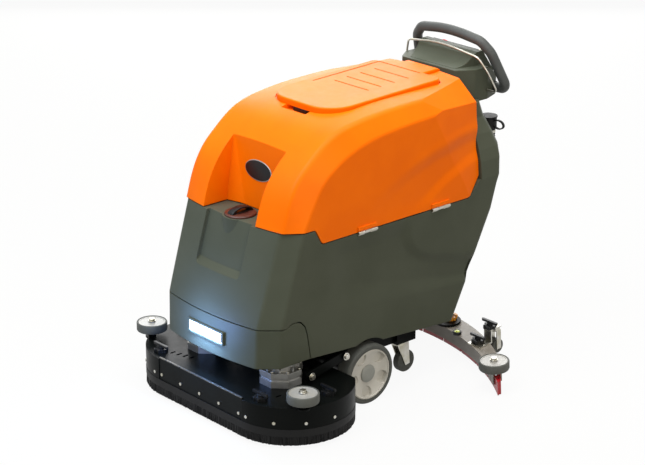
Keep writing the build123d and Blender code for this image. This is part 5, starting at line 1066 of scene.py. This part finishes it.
@dataclass
class Studio:
    """Pale floor, soft lamps and the camera."""

    azimuth: float = 48.0
    elevation: float = 20.3
    distance: float = 6.404
    target: Point = (-0.004, -0.075, 0.490)
    focal_px: float = 2000.0
    width_px: int = 645
    sensor: float = 36.0
    floor_half: float = 14.0
    floor_paint: str = "#8C8C88"
    floor_glow: float = 1.08
    floor_share: float = 0.86
    sky_light: float = 0.3
    lamps: tuple[SoftLamp, ...] = (
        SoftLamp("key", (-0.6, -3.0, 4.4), 3.0, 190.0, "#EDF5FF"),
        SoftLamp("top", (0.4, 0.2, 4.4), 3.6, 185.0, "#FFFDF8"),
        SoftLamp("fill", (4.2, -1.2, 2.4), 3.0, 78.0, "#FFF2E0"),
        SoftLamp("rear", (-3.2, 2.9, 2.1), 4.0, 170.0, "#FFFFFF", (0.0, 0.0, 0.8)),
        # The headlamp's own cool light, down on the deck and back on the nose
        SoftLamp("headlamp_light", (0.0, -0.575, 0.286), 0.15, 2.6, "#8FBBFF", (0.0, -0.9, 0.0), 0.03),
        SoftLamp("headlamp_haze", (0.0, -0.68, 0.29), 0.12, 1.6, "#86AEFF", (0.0, -0.55, 0.29)),
    )

    def build(self) -> None:
        """Set up view, camera, floor, world and lamps."""
        bpy.context.scene.view_settings.view_transform = "Standard"
        self.camera()
        self.floor()
        self.world()
        for lamp in self.lamps:
            lamp.hang()

    def camera(self) -> None:
        """Stand the camera where the photograph was taken."""
        a, e = radians(self.azimuth), radians(self.elevation)
        back = Vector((sin(a) * cos(e), -cos(a) * cos(e), sin(e)))
        data = bpy.data.cameras.new("camera")
        data.sensor_width = self.sensor
        data.lens = self.focal_px * self.sensor / self.width_px
        made = bpy.data.objects.new("camera", data)
        made.location = Vector(self.target) + back * self.distance
        made.rotation_mode = "QUATERNION"
        made.rotation_quaternion = (-back).to_track_quat("-Z", "Y")
        bpy.context.scene.collection.objects.link(made)
        bpy.context.scene.camera = made

    def floor(self) -> None:
        """Lay a wide pale floor that keeps a faint shadow."""
        shape = bmesh.new()
        bmesh.ops.create_grid(shape, x_segments=1, y_segments=1, size=self.floor_half)
        mesh = bpy.data.meshes.new("floor")
        shape.to_mesh(mesh)
        shape.free()
        # Matt white paint: plain white to the eye, a middle grey to the light it throws back
        material = bpy.data.materials.new("Painted studio floor, white")
        material.use_nodes = True
        tree = material.node_tree
        tree.nodes.clear()
        paint = node(tree, "BsdfDiffuse", {"Color": linear(self.floor_paint)})
        glow = node(tree, "Emission", {"Color": linear("#FFFFFF"), "Strength": self.floor_glow})
        share = node(tree, "Math", {0: self.seen(tree), 1: self.floor_share}, operation="MULTIPLY")
        mix = node(tree, "MixShader", {0: share, 1: paint, 2: glow})
        node(tree, "OutputMaterial", {"Surface": mix})
        mesh.materials.append(material)
        made = bpy.data.objects.new("floor", mesh)
        bpy.context.scene.collection.objects.link(made)

    def world(self) -> None:
        """Surround the scene with white that also fills the shadows."""
        world = bpy.data.worlds.new("studio")
        bpy.context.scene.world = world
        world.use_nodes = True
        tree = world.node_tree
        tree.nodes.clear()
        level = node(tree, "MapRange", {"Value": self.seen(tree), "To Min": self.sky_light})
        sky = node(tree, "Background", {"Color": linear("#FFFFFF"), "Strength": level})
        node(tree, "OutputWorld", {"Surface": sky})

    def seen(self, tree: Tree) -> Node:
        """Tell the rays that show the background from those that only light the object.

        Args:
            tree: Node tree of the floor or the world.

        Returns:
            Node that gives 1 for what is seen directly, in gloss or through glass, and 0 for the rest.
        """
        path = node(tree, "LightPath").outputs
        shown = node(tree, "Math", {0: path["Is Camera Ray"], 1: path["Is Glossy Ray"]}, operation="MAXIMUM")
        return node(tree, "Math", {0: shown, 1: path["Is Transmission Ray"]}, operation="MAXIMUM")


def main() -> None:
    """Build and dress the machine."""
    Studio().build()
    dress()
    MouldedShell("tank_moulding", "solution_tank", "chassis", GREY, TankPocket(),
                 low=(-320.0, 285.0), high=(300.0, 590.0)).build()
    MouldedShell("hood_moulding", "recovery_tank", "hood", ORANGE, HoodSweep(),
                 low=(-190.0, 570.0), high=(400.0, 900.0)).build()
    for hand, side in HANDS:
        DriveWheel(hand, side).build()
    for part in (BrushDeck, Filler, DrainHose, Fittings, ControlDesk, Squeegee):
        part().build()


if __name__ == "__main__":
    main()
